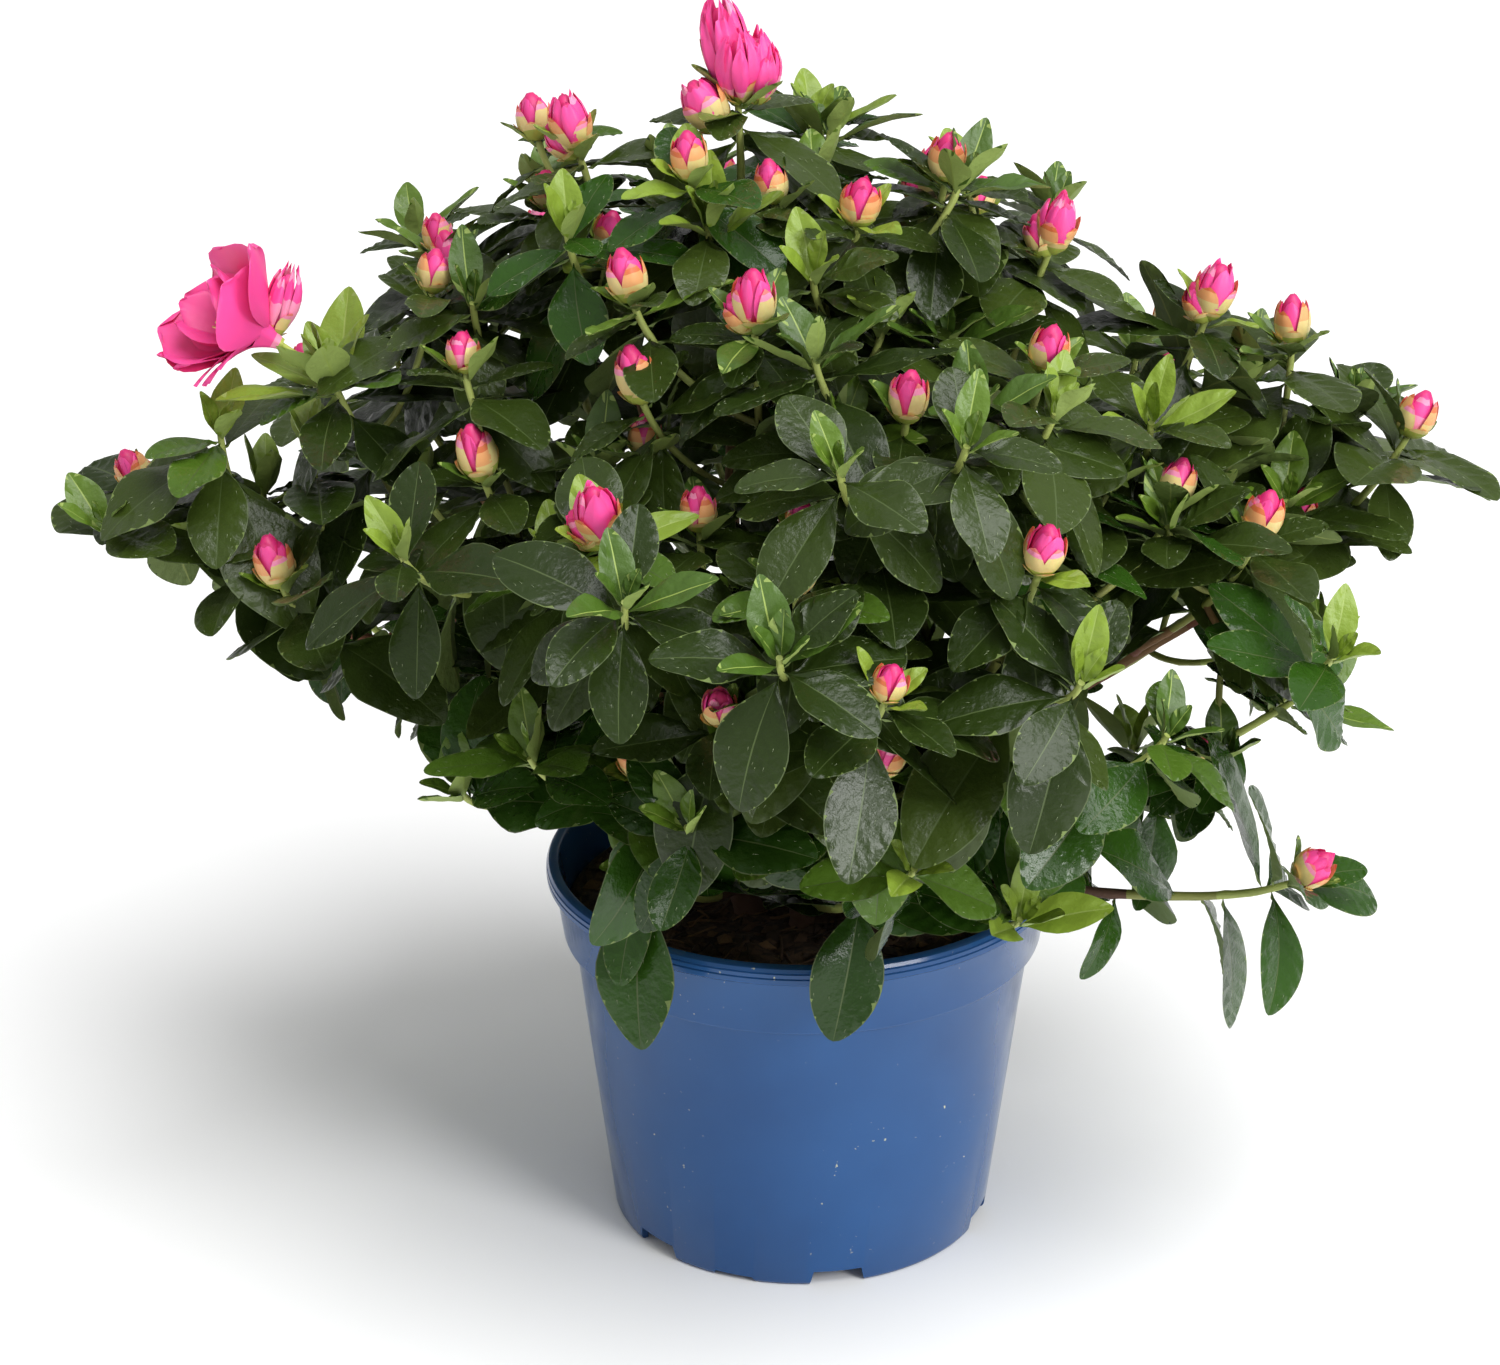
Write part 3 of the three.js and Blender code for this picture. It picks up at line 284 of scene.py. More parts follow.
def grow_limbs():
    """The stems and boughs as (way, radius law, share) by name, and the lead shoot of each mass."""
    limbs, leads = {}, []
    for mass in sorted(MASSES, key=lambda row: row[2] is not None):
        name, carrier, fork, tip, more = mass
        tip = np.array(tip, float)
        arriving = unit(UP + more.get("lean", TIP_LEAN) * outward_from(tip))
        if fork is None:
            _, foot, radius, first, rise = STEMS[carrier]
            start = np.array([*foot, SOIL_TOP - FOOT_DEPTH], float)
            way = Way(start, unit(UP + STEM_SPREAD * outward_from(tip)), tip, arriving, rise)

            def radius_at(share, law=radius_law(radius), height=way.length):
                return law(share) * (1 + FOOT_FLARE * np.exp((FOOT_DEPTH - share * height) / FLARE_HEIGHT))

            limbs["stem_" + carrier] = (way, radius_at, first)
        else:
            stem_way, stem_law, _ = limbs["stem_" + carrier]
            start, along = stem_way.at(fork), stem_way.along(fork)
            way = Way(start, square_to(along, tip - start), tip, arriving, FORK_RISE)
            radius_at = radius_law(min(stem_law(fork) * FORK_RADIUS_SHARE, MOST_FORK_RADIUS))
            first = more.get("bough", 0)
            if first:
                limbs["bough_" + name] = (way, radius_at, first)
        bud = 0 if more.get("flower") else more.get("bud", 1)
        leads.append(Shoot(mass, 0, way, first, radius_at, bud))
    return limbs, leads


def side_shoot(lead, k):
    """Side shoot k of a lead: the first two stand where the solids have them, and the finer ones between."""
    fine = k >= SOLID_SIDE_SHOOTS
    draw = seeded(1000 * (lead.index + 1) + k)
    if fine:
        at = 0.12 + 0.7 * draw()
    else:
        at = max((0.76 - 0.13 * k + 0.06 * draw() - lead.first) / (1 - lead.first), 0.05)
    middle, along = lead.at(at), lead.along(at)
    placed = None if fine else lead.more.get(("side", "next")[k])
    if placed:
        tip = np.array(placed[:3], float)
        heading = unit(tip - middle)
        side = square_to(along, heading)
        bud = placed[3]
    else:
        flat = unit(np.cross(along, outward_from(middle)))
        side = turned(flat, along, math.radians(lead.more["roll"] + k * GOLDEN_ANGLE + 30 * draw()))
        length = SIDE_SHOOT_LENGTH * (FINE_LENGTH if fine else 1.0) * (0.8 + 0.5 * draw())
        heading = unit(0.45 * along + 0.75 * side + 0.3 * UP)
        tip = middle + heading * length
        bud = 0.7 + 0.3 * draw() if draw() < (FINE_BUD_CHANCE if fine else SIDE_BUD_CHANCE) else 0
    way = Way(middle, side, tip, unit(0.6 * heading + UP), 0.3)
    radius_at = radius_law(lead.radius(at) * SIDE_GIRTH * (FINE_GIRTH if fine else 1))
    return Shoot(lead.mass, k + 1, way, 0.0, radius_at, bud)


# Leaves

LEAF_LENGTH, LEAF_WIDTH_SHARE, BEND_SPREAD = 39, 0.48, 0.16
# Where a blade is widest, how blunt it is, the least and the spread of its sag and of its fold, and its wave
LEAF_FORM = (0.55, 0.66, 0.06, 0.2, 0.12, 0.24, 0.16)
YOUNG_FORM = (0.52, 0.85, -0.1, 0.3, 0.3, 0.4, 0.2)
LOW_HEIGHT, HIGH_HEIGHT, LOW_SIZE, HIGH_SIZE = 150, 400, 1.28, 0.8
LEAF_PLACES, MOST_PLACES, WHORL_PLACES, INNER_PLACES = 12, 20, 7, 21
MOST_SIDE_LEAVES, CELL, MOST_SHARED_CELLS = 8, 4.0, 2
WHORL_START, WHORL_STEP, LOWER_START, LOWER_STEP = 1.5, 1.7, 18, 7
WHORL_LIFT, LIFT_STEP, LIFT_SPREAD, SHOOT_TURN, TURN_SPREAD = 30, 9, 16, 61, 24
QUILT, VEIN_START, VEIN_STEP, VEIN_SLANT = 0.55, 0.1, 0.14, 0.6
# How far a leaf may turn aside to find room, and its size then
LEAF_TRIES = ((0, 1), (35, 1), (-40, 0.95), (75, 0.9), (-80, 0.85), (15, 0.75), (-20, 0.65))
PROBE_T, PROBE_V = (a.ravel() for a in np.meshgrid((0.3, 0.44, 0.58, 0.72, 0.86, 0.98), (-0.7, 0.0, 0.7)))


def blade(draw, form, shoot, k, base, along, face, size, width):
    """A leaf as it is drawn, with a sag, fold, wave and bend of its own."""
    widest, blunt, sag, more_sag, fold, more_fold, wave = form
    return dict(
        shoot=shoot, k=k, base=base, along=along, face=face, size=size, width=width, widest=widest, blunt=blunt,
        sag=sag + more_sag * draw(), fold=fold + more_fold * draw(), wave=wave * draw(), phase=draw(),
        bend=BEND_SPREAD * (draw() - 0.5),
    )


def leaf_place(shoot, k, aside, scale):
    """Leaf k of a shoot, counted from the whorl downward, or none where the shoot is too short."""
    more = shoot.more
    seed = shoot.index * 7 + shoot.order
    draw = seeded(seed * 97 + k * 13 + 5)
    under = max(k - WHORL_PLACES + 1, 0)
    below = LOWER_START + LOWER_STEP * under if under else WHORL_START + WHORL_STEP * k
    at = 1 - (below + 2 * draw()) / shoot.length
    if at < 0.04:
        return None
    base, axis = shoot.at(at), shoot.along(at)
    turn = more["roll"] + seed * SHOOT_TURN + k * GOLDEN_ANGLE + TURN_SPREAD * (draw() - 0.5) + aside
    across = turned(unit(np.cross(axis, WHORL_REFERENCE)), axis, math.radians(turn))
    lift = WHORL_LIFT - LIFT_STEP * min(k, 6) + LIFT_SPREAD * (draw() - 0.5) - more.get("droop", 0)
    lift = math.radians(lift)
    along = unit(across * math.cos(lift) + axis * math.sin(lift) - 0.12 * UP)
    grown = max(0.72 + 0.09 * min(k, 4) - 0.05 * under, 0.6)
    by_height = np.interp(base[2], (LOW_HEIGHT, HIGH_HEIGHT), (LOW_SIZE, HIGH_SIZE))
    size = scale * LEAF_LENGTH * grown * by_height * (0.82 + 0.36 * draw()) * more.get("leaf", 1)
    width = size * LEAF_WIDTH_SHARE * (0.9 + 0.2 * draw())
    sky = 0.75 * axis + 0.5 * UP + 0.25 * turned(across, axis, 1.57) * (draw() - 0.5)
    face = square_to(along, sky)
    base = base + along * shoot.radius(at) * 0.6
    return blade(draw, LEAF_FORM, shoot, k, base, along, face, size, width)


def blade_outline(t, widest, blunt, start=0.08):
    """Half the width of a blade at a share of its length, as a share of its widest."""
    s = np.clip((t - start) / (1 - start), 0, 1)
    power = math.log(0.5) / math.log((widest - start) / (1 - start))
    return np.sin(np.pi * s**power).clip(0) ** np.where(s**power < 0.5, 0.95, blunt)


def blade_points(leaf, t, v, under):
    """Points of a leaf at shares along and across it, on its top or, where under is 1, on its underside."""
    along, face, size = leaf["along"], leaf["face"], leaf["size"]
    across = np.cross(face, along)
    spread = np.abs(v)
    vein = np.cos(2 * np.pi * (t - VEIN_START) / VEIN_STEP) * 4 * spread * (1 - spread) * (t < 0.95)
    t = t + VEIN_SLANT * spread * t * (1 - t)
    half = 0.5 * leaf["width"] * blade_outline(t, leaf["widest"], leaf["blunt"]) + 0.45
    rise = leaf["fold"] * half * (1.5 * spread - 0.95 * spread**2)
    rise += leaf["wave"] * half * np.sin(2 * np.pi * (1.4 * t + leaf["phase"] + 0.25 * v)) * spread
    rise -= leaf["sag"] * size * t**2
    rise += QUILT * vein
    rise -= under * (0.32 + 0.5 * np.exp(-t * 14))
    forward = size * t * (1 - 0.35 * leaf["sag"] * t)
    aside = v * half + leaf["bend"] * size * t**2
    return leaf["base"] + forward[:, None] * along + aside[:, None] * across + rise[:, None] * face


taken = set()


def cell_of(point):
    return tuple(np.floor(point / CELL).astype(int))


def leaf_that_fits(shoot, k):
    """The leaf for a place, as drawn or turned aside and smaller, or none where nothing fits."""
    for aside, scale in LEAF_TRIES:
        leaf = leaf_place(shoot, k, aside, scale)
        if leaf is None:
            return None
        points = blade_points(leaf, PROBE_T, PROBE_V, 0)
        inside = shoot.order == 0 or is_in_crown(points[5])
        if not inside or hits_pot(points) or shows_as_sky(points):
            continue
        cells = {cell_of(point) for point in points}
        if len(cells & taken) <= MOST_SHARED_CELLS:
            taken.update(cells)
            return leaf
    return None


def grow_shoots(leads):
    shoots = list(leads)
    for k in range(SIDE_SHOOTS):
        for lead in leads:
            if k >= lead.more.get("shoots", SIDE_SHOOTS):
                continue
            shoot = side_shoot(lead, k)
            points = np.array([shoot.at(s) for s in (0.4, 0.7, 1.0)])
            if is_in_crown(points[-1]) and not hits_pot(points) and not shows_as_sky(points):
                shoots.append(shoot)
    return shoots


def take_wood_and_buds(limbs, shoots):
    for way, _, share in limbs.values():
        taken.update(cell_of(way.at(s)) for s in np.linspace(0, share, 60))
    for shoot in shoots:
        taken.update(cell_of(shoot.at(s)) for s in np.linspace(0, 0.85, 14))
        for rise in (5, 11, 17) if shoot.bud else ():
            middle = np.array(cell_of(shoot.at(1.0) + rise * shoot.along(1.0)))
            taken.update(tuple(middle + np.array(step) - 1) for step in np.ndindex(3, 3, 3))


def grow_leaves(leads, shoots):
    """Leaves for the lead shoots, then for the side shoots, then inside the crown on the leads' older wood."""
    grown = []
    for group in (leads, shoots[len(leads):]):
        for k in range(MOST_PLACES):
            for shoot in group:
                places = shoot.more.get("places", LEAF_PLACES)
                if k >= places or shoot.leaves >= (MOST_SIDE_LEAVES if shoot.order else places - 2):
                    continue
                leaf = leaf_that_fits(shoot, k)
                if leaf is not None:
                    grown.append(leaf)
                    shoot.leaves += 1
    inner = [shoot for shoot in leads if shoot.more.get("shoots") != 0]
    found = [leaf_that_fits(shoot, k) for k in range(LEAF_PLACES, INNER_PLACES) for shoot in inner]
    return grown + [leaf for leaf in found if leaf is not None]


def grow_young(shoots):
    """The young leaves that stand steeply round each shoot's tip, more of them where there is no bud."""
    grown = []
    for shoot in shoots:
        draw = seeded(9000 + shoot.index * 31 + shoot.order * 7)
        fresh = draw()
        count = 4 + int(3 * draw()) if shoot.bud == 0 or fresh < 0.3 else 1 + int(3 * draw())
        placed = shoot.more.get("young", 0) if shoot.order == 0 else 0
        tip, axis = shoot.at(1.0), shoot.along(1.0)
        start = unit(np.cross(axis, WHORL_REFERENCE))
        for k in range(placed or count):
            across = turned(start, axis, math.radians(k * GOLDEN_ANGLE + 40 * draw()))
            steep = 72 - (6 if placed else 9) * k + 12 * draw() if shoot.bud == 0 else 50 - 10 * k + 20 * draw()
            lift = math.radians(steep)
            along = unit(across * math.cos(lift) + axis * math.sin(lift))
            face = square_to(along, axis)
            size = 14 + 2.1 * k + 6 * draw() if placed else 11 + 3.2 * k + 6 * draw()
            width = size * (0.36 + 0.1 * draw())
            base = tip - axis * (1.2 + 0.6 * k) + across * 0.8
            grown.append(blade(draw, YOUNG_FORM, shoot, k, base, along, face, size, width))
    return grown


limbs, leads = grow_limbs()
shoots = grow_shoots(leads)
take_wood_and_buds(limbs, shoots)
leaves = grow_leaves(leads, shoots)


# Meshes


def add_object(name, data):
    made = bpy.data.objects.new(name, data)
    bpy.context.scene.collection.objects.link(made)
    return made


class Pile:
    """Many small closed shapes that become one piece, each face with the number of its material."""

    def __init__(self):
        self.points, self.faces, self.slots, self.count = [], [], [], 0

    def add(self, points, faces, slots):
        self.points.append(points)
        self.faces.append(faces + self.count)
        self.slots.append(np.broadcast_to(slots, len(faces)))
        self.count += len(points)

    def piece(self, name, materials, replaced=(), sharp=50):
        mesh = bpy.data.meshes.new(name)
        mesh.from_pydata(np.concatenate(self.points) * MM, [], np.concatenate(self.faces), shade_flat=False)
        for material in materials:
            mesh.materials.append(material)
        mesh.polygons.foreach_set("material_index", np.concatenate(self.slots).astype(np.int32))
        mesh.validate()
        mesh.set_sharp_from_angle(angle=math.radians(sharp))
        made = add_object(name, mesh)
        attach(made, "root")
        if replaced:
            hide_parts(*replaced)
        return made


class Net:
    """The net of a closed blade: places along and across for each vertex, and triangles with a kind each."""

    def __init__(self, rows, top, under, kind_of):
        places, rings = [(0.0, 0.0, 0.0)], []
        for t in rows:
            ring = {}
            for side, columns in enumerate((top, under)):
                for v in columns:
                    if side and abs(v) == 1:
                        ring[side, v] = ring[0, v]
                    else:
                        ring[side, v] = len(places)
                        places.append((t, v, float(side)))
            rings.append(ring)
        tip = len(places)
        places.append((1.0, 0.0, 0.0))
        faces, kinds = [], []
        for side, columns in enumerate((top, under)):
            for a, b in zip(columns, columns[1:]):
                strip = [(0, rings[0][side, a], rings[0][side, b])]
                for low, high in zip(rings, rings[1:]):
                    strip.append((low[side, a], high[side, a], high[side, b]))
                    strip.append((low[side, a], high[side, b], low[side, b]))
                strip.append((rings[-1][side, a], tip, rings[-1][side, b]))
                faces += [face[::-1] for face in strip] if side else strip
                kinds += [kind_of(side, (a + b) / 2, (n + 1) // 2) for n in range(len(strip))]
        self.t, self.v, self.under = np.array(places).T
        self.faces, self.kinds = np.array(faces), np.array(kinds)


def leaf_part(side, v, row):
    """The part of a leaf: 0 top, 1 midrib, 2 rim, 3 underside, 4 the rib there."""
    if side == 0:
        return 1 if abs(v) < 0.02 else 2 if abs(v) > 0.97 else 0
    return 4 if abs(v) < 0.02 else 3


def by_row(side, v, row):
    return row


LEAF_NET = Net(
    (0.04, 0.1, 0.17, 0.24, 0.31, 0.38, 0.45, 0.52, 0.59, 0.66, 0.73, 0.8, 0.87, 0.93, 0.975),
    (-1, -0.97, -0.5, -0.022, 0.022, 0.5, 0.97, 1), (-1, -0.5, -0.04, 0.04, 0.5, 1), leaf_part,
)
YOUNG_NET = Net(
    (0.07, 0.17, 0.27, 0.37, 0.47, 0.57, 0.67, 0.77, 0.87, 0.95),
    (-1, -0.5, -0.04, 0.04, 0.5, 1), (-1, -0.05, 0.05, 1), leaf_part,
)


# Materials


def linear(rgb):
    return tuple(((c / 255 + 0.055) / 1.055) ** 2.4 if c > 10 else c / 255 / 12.92 for c in rgb)


def add_node(tree, kind, **inputs):
    node = tree.nodes.new("ShaderNode" + kind)
    for socket, value in inputs.items():
        node.inputs[socket].default_value = value
    return node


def add_noise(tree, place, scale, detail):
    noise = add_node(tree, "TexNoise", Scale=scale, Detail=detail)
    tree.links.new(place.outputs["Object"], noise.inputs["Vector"])
    return noise.outputs["Fac"]


def plain(name, rgb, roughness=0.5, bump=None, **sockets):
    """A material of one base colour, with a fine relief where bump gives (scale, strength, depth in mm)."""
    material = bpy.data.materials.new(name)
    material.use_nodes = True
    tree = material.node_tree
    shader = tree.nodes["Principled BSDF"]
    shader.inputs["Base Color"].default_value = (*linear(rgb), 1)
    shader.inputs["Roughness"].default_value = roughness
    for socket, value in sockets.items():
        shader.inputs[socket.replace("_", " ")].default_value = value
    if bump:
        scale, strength, depth = bump
        relief = add_node(tree, "Bump", Strength=strength, Distance=depth * MM)
        tree.links.new(add_noise(tree, tree.nodes.new("ShaderNodeTexCoord"), scale, 3), relief.inputs["Height"])
        tree.links.new(relief.outputs["Normal"], shader.inputs["Normal"])
    return material


LEAF_RELIEF = (520, 0.7, 0.45)
LEAF_TOPS = [(44, 59, 17), (35, 50, 12), (52, 67, 21), (40, 72, 16), (31, 58, 11), (68, 96, 26)]
GLOSSY_TOPS, PALE_TOP = (3, 4), 5
LEAF_MATERIALS = [
    plain(f"leaf_top_{i}", rgb, 0.25 if i in GLOSSY_TOPS else 0.31, LEAF_RELIEF, Specular_IOR_Level=0.34)
    for i, rgb in enumerate(LEAF_TOPS)
]
LEAF_MATERIALS += [
    plain("leaf_midrib", (66, 82, 38), 0.45),
    plain("leaf_rim", (72, 86, 48), 0.55),
    plain("leaf_underside", (104, 122, 62), 0.6, LEAF_RELIEF),
    plain("leaf_under_rib", (140, 152, 84), 0.6),
]
YOUNG_TOPS = [(86, 114, 30), (122, 146, 46), (66, 94, 26)]
YOUNG_MATERIALS = [plain(f"young_leaf_{i}", rgb, 0.42, LEAF_RELIEF) for i, rgb in enumerate(YOUNG_TOPS)]
YOUNG_MATERIALS += [
    plain("young_midrib", (142, 162, 78), 0.5),
    plain("young_underside", (140, 160, 82), 0.6, LEAF_RELIEF),
]

# The chance that a low shoot is glossy, and that a leaf of the top whorl is pale, low down and higher up
LOW_SHOOT_HEIGHT, GLOSSY_CHANCE, LOW_PALE_CHANCE, PALE_CHANCE = 235, 0.7, 0.4, 0.22


def add_blade(pile, leaf, net, slots):
    pile.add(blade_points(leaf, net.t, net.v, net.under), net.faces, np.array(slots)[net.kinds])


def make_leaves():
    regions = {}
    for name, carrier, _, _, more in MASSES:
        regions.setdefault(more.get("region", STEMS[carrier][0]), []).append(name)
    for region, masses in regions.items():
        pile = Pile()
        for leaf in leaves:
            shoot = leaf["shoot"]
            if shoot.name not in masses:
                continue
            draw = seeded(400 + shoot.index * 17 + shoot.order * 5)
            low = shoot.at(1.0)[2] < LOW_SHOOT_HEIGHT
            tint = (GLOSSY_TOPS[0] + int(2 * draw())) if low and draw() < GLOSSY_CHANCE else int(3.4 * draw())
            if leaf["k"] < (3 if low else 2) and draw() < (LOW_PALE_CHANCE if low else PALE_CHANCE):
                tint = PALE_TOP
            add_blade(pile, leaf, LEAF_NET, [tint, 6, 7, 8, 9])
        pile.piece("leaves_" + region, LEAF_MATERIALS, masses)


BRISTLES_PER_LEAF, BRISTLE_LENGTH, BRISTLE_GIRTH = 11, 1.2, 0.08
BRISTLE_FACES = np.array([(0, 1, 2), (1, 0, 3), (0, 2, 3), (2, 1, 3)])


def make_bristles():
    """The short pale bristles that lie along the tops of the leaves."""
    bristle_pale = plain("leaf_bristle", (150, 162, 126), 0.6)
    faces = (BRISTLE_FACES[None] + 4 * np.arange(BRISTLES_PER_LEAF)[:, None, None]).reshape(-1, 3)
    pile = Pile()
    for n, leaf in enumerate(leaves):
        draw = seeded(60000 + n)
        t = np.array([0.14 + 0.78 * draw() for _ in range(BRISTLES_PER_LEAF)])
        v = np.array([(0.1 + 0.82 * draw()) * (-1) ** k for k in range(BRISTLES_PER_LEAF)])
        root = blade_points(leaf, t, v, 0)
        forward = blade_points(leaf, t + 0.03, v, 0) - root
        forward /= np.linalg.norm(forward, axis=1)[:, None]
        aside = blade_points(leaf, t, v * 0.95, 0) - root
        aside *= (np.sign(-v) / np.linalg.norm(aside, axis=1))[:, None]
        lifted = np.cross(forward, aside)
        root = root - 0.05 * lifted
        corners = (
            root + BRISTLE_GIRTH * aside, root - BRISTLE_GIRTH * aside, root + 1.4 * BRISTLE_GIRTH * lifted,
            root + BRISTLE_LENGTH * forward + 0.3 * lifted,
        )
        pile.add(np.stack(corners, 1).reshape(-1, 3), faces, 0)
    pile.piece("leaf_bristles", [bristle_pale])


def make_young():
    pile = Pile()
    for leaf in grow_young(shoots):
        shoot = leaf["shoot"]
        add_blade(pile, leaf, YOUNG_NET, [(shoot.index + shoot.order) % len(YOUNG_TOPS), 3, 3, 4, 3])
    pile.piece("young_leaves", YOUNG_MATERIALS)


# Limbs and twigs


def closed(rings, ends):
    """A solid's vertices, its faces and the ring of each, from its rings and the points that close its ends."""
    count, sides = len(rings), len(rings[0])
    n, following = np.arange(sides), (np.arange(sides) + 1) % sides
    low = sides * np.arange(count - 1)[:, None]
    a, b = low + n, low + following
    walls = np.stack([np.stack([a, b, b + sides], 2), np.stack([a, b + sides, a + sides], 2)], 1)
    foot, last = np.full(sides, count * sides), (count - 1) * sides
    caps = [np.stack([foot, following, n], 1), np.stack([foot + 1, last + n, last + following], 1)]
    which = np.concatenate([np.arange(count - 1).repeat(2 * sides), 0 * n, 0 * n + count - 2])
    return np.concatenate([*rings, ends]), np.concatenate([walls.reshape(-1, 3), *caps]), which


def tube(points, radii, sides, relief=None):
    """A closed tube along points. relief(ring, angles) is the radius there as a share of the plain one."""
    slopes = np.gradient(points, axis=0)
    slopes /= np.linalg.norm(slopes, axis=1)[:, None]
    first = unit(np.cross(slopes[0], TUBE_REFERENCE))
    angles = np.arange(sides)[:, None] * 2 * np.pi / sides
    rings = []
    for n in range(len(points)):
        first = square_to(slopes[n], first)
        second = np.cross(slopes[n], first)
        girth = radii[n] * (relief(n, angles) if relief else 1)
        rings.append(points[n] + girth * (np.cos(angles) * first + np.sin(angles) * second))
    return closed(rings, points[[0, -1]])


def bark_relief(seed, spacing, depth, scar_step):
    """Long ridges and fissures that wander round a limb, with a swelling at each old leaf's place."""
    draw = seeded(seed)
    shift = [2 * math.pi * draw() for _ in range(6)]

    def relief(n, angles):
        s = n * spacing
        wander = 0.7 * math.sin(s / 11 + shift[0]) + 0.4 * math.sin(s / 4.3 + shift[1])
        ridges = 0.5 * np.sin(5 * angles + wander + shift[2])
        ridges = ridges + 0.5 * np.sin(9 * angles - wander * 1.6 + shift[3])
        lumps = 0.6 * np.sin(2 * angles + s / 7 + shift[4]) * math.sin(s / 9 + shift[5])
        scar = math.exp(-(((s % scar_step) - scar_step / 2) ** 2) / 2.2)
        turn = (s // scar_step) * math.radians(GOLDEN_ANGLE)
        return 1 + depth * (ridges + lumps) + 0.22 * scar * np.clip(np.cos(angles - turn), 0, 1)

    return relief


BARK_RGB = [(92, 66, 52), (122, 74, 54), (128, 96, 62), (134, 138, 70), (158, 170, 88)]
BARK_MATERIALS = [
    plain(f"bark_{i}", rgb, 0.8 if i < 3 else 0.55, (900, 0.6, 0.4)) for i, rgb in enumerate(BARK_RGB)
]


OLD_WOOD_HEIGHT, RED_WOOD_HEIGHT, TONE_JITTER = 150, 215, 14
GREEN_STRETCH, GREENEST_STRETCH, FEWEST_RINGS = 62, 34, 6


def limb_tones(points, which, from_tip, seed):
    """The bark's tone for each face: old and dark low down, reddish above, green on the last stretch."""
    jitter = TONE_JITTER * (seeded(seed)() - 0.5)
    height = points[which, 2]
    tone = np.where(height < OLD_WOOD_HEIGHT + jitter, 0, 1)
    tone = np.where(height > RED_WOOD_HEIGHT + 3 * jitter, 2, tone)
    tone = np.where(from_tip[which] < GREEN_STRETCH + jitter, 3, tone)
    return np.where(from_tip[which] < GREENEST_STRETCH + jitter, 4, tone)


# How a limb and a twig are drawn: ring step, sides, depth of the bark, step of its scars, and its two seeds
LIMB, TWIG = (1.6, 16, 0.07, 17, 70, 30), (2.6, 8, 0.05, 9, 500, 800)


def add_limb(pile, n, kind, at, radius_at, ends, length, whole):
    """Limb n between two shares of its way: its length there, and the whole length of the way."""
    step, sides, depth, scar_step, bark_seed, tone_seed = kind
    count = max(int(length / step), FEWEST_RINGS)
    shares = np.linspace(*ends, count)
    points, radii = (np.array([read(s) for s in shares]) for read in (at, radius_at))
    relief = bark_relief(bark_seed + n, length / count, depth, scar_step)
    vertices, faces, which = tube(points, radii, sides, relief)
    pile.add(vertices, faces, limb_tones(points, which, (1 - shares) * whole, tone_seed + n))


def make_limbs():
    pile = Pile()
    for n, (name, (way, radius_at, share)) in enumerate(limbs.items()):
        begin = (FOOT_DEPTH - 1.5) / way.length if name.startswith("stem") else 0
        add_limb(pile, n, LIMB, way.at, radius_at, (begin, share), way.length * share, way.length)
    pile.piece("woody_limbs", BARK_MATERIALS, tuple(limbs), 70)


def make_twigs():
    pile = Pile()
    for n, shoot in enumerate(shoots):
        add_limb(pile, n, TWIG, shoot.at, shoot.radius, (0, 1), shoot.length, shoot.length)
    pile.piece("twigs", BARK_MATERIALS, (), 70)


# Buds and flowers

# The last tone is a deep pink: the real tint of some petal tips, and painted shade where a bud's core shows in
# the folds between its petals.
GREEN, LIME, CREAM, PEACH, ORANGE, SALMON, PALE_PINK, PINK, DEEP_PINK_AND_FOLD_SHADE = range(9)
BLOSSOM_RGB = [
    (104, 132, 46), (168, 178, 78), (222, 198, 132), (226, 160, 104), (206, 108, 62), (232, 120, 116),
    (242, 142, 178), (238, 70, 148), (208, 40, 112),
]
BLOSSOM_MATERIALS = [
    plain(f"blossom_{i}", rgb, 0.48, (500, 0.25, 0.3), Subsurface_Weight=0.12, Subsurface_Scale=0.002)
    for i, rgb in enumerate(BLOSSOM_RGB)
]
SCALE_TONES = (
    (GREEN, LIME, LIME, LIME, LIME, CREAM, CREAM, PEACH),
    (LIME, LIME, CREAM, CREAM, CREAM, PEACH, PEACH, ORANGE),
    (LIME, CREAM, CREAM, CREAM, PEACH, PEACH, ORANGE, SALMON),
    (LIME, LIME, LIME, CREAM, CREAM, CREAM, PALE_PINK, SALMON),
)
SCALE_NET = Net(
    (0.1, 0.22, 0.36, 0.5, 0.64, 0.78, 0.9), (-1, -0.67, -0.33, 0, 0.33, 0.67, 1), (-1, 0, 1), by_row
)


def ovoid_radius(s, openness=0.0):
    """The girth of a bud at a share of its height, as a share of its widest. An open one is slim below."""
    return np.sin(np.pi * np.clip(s, 0, 1) ** (0.8 + 0.35 * openness)).clip(0) ** (0.55 - 0.05 * openness)


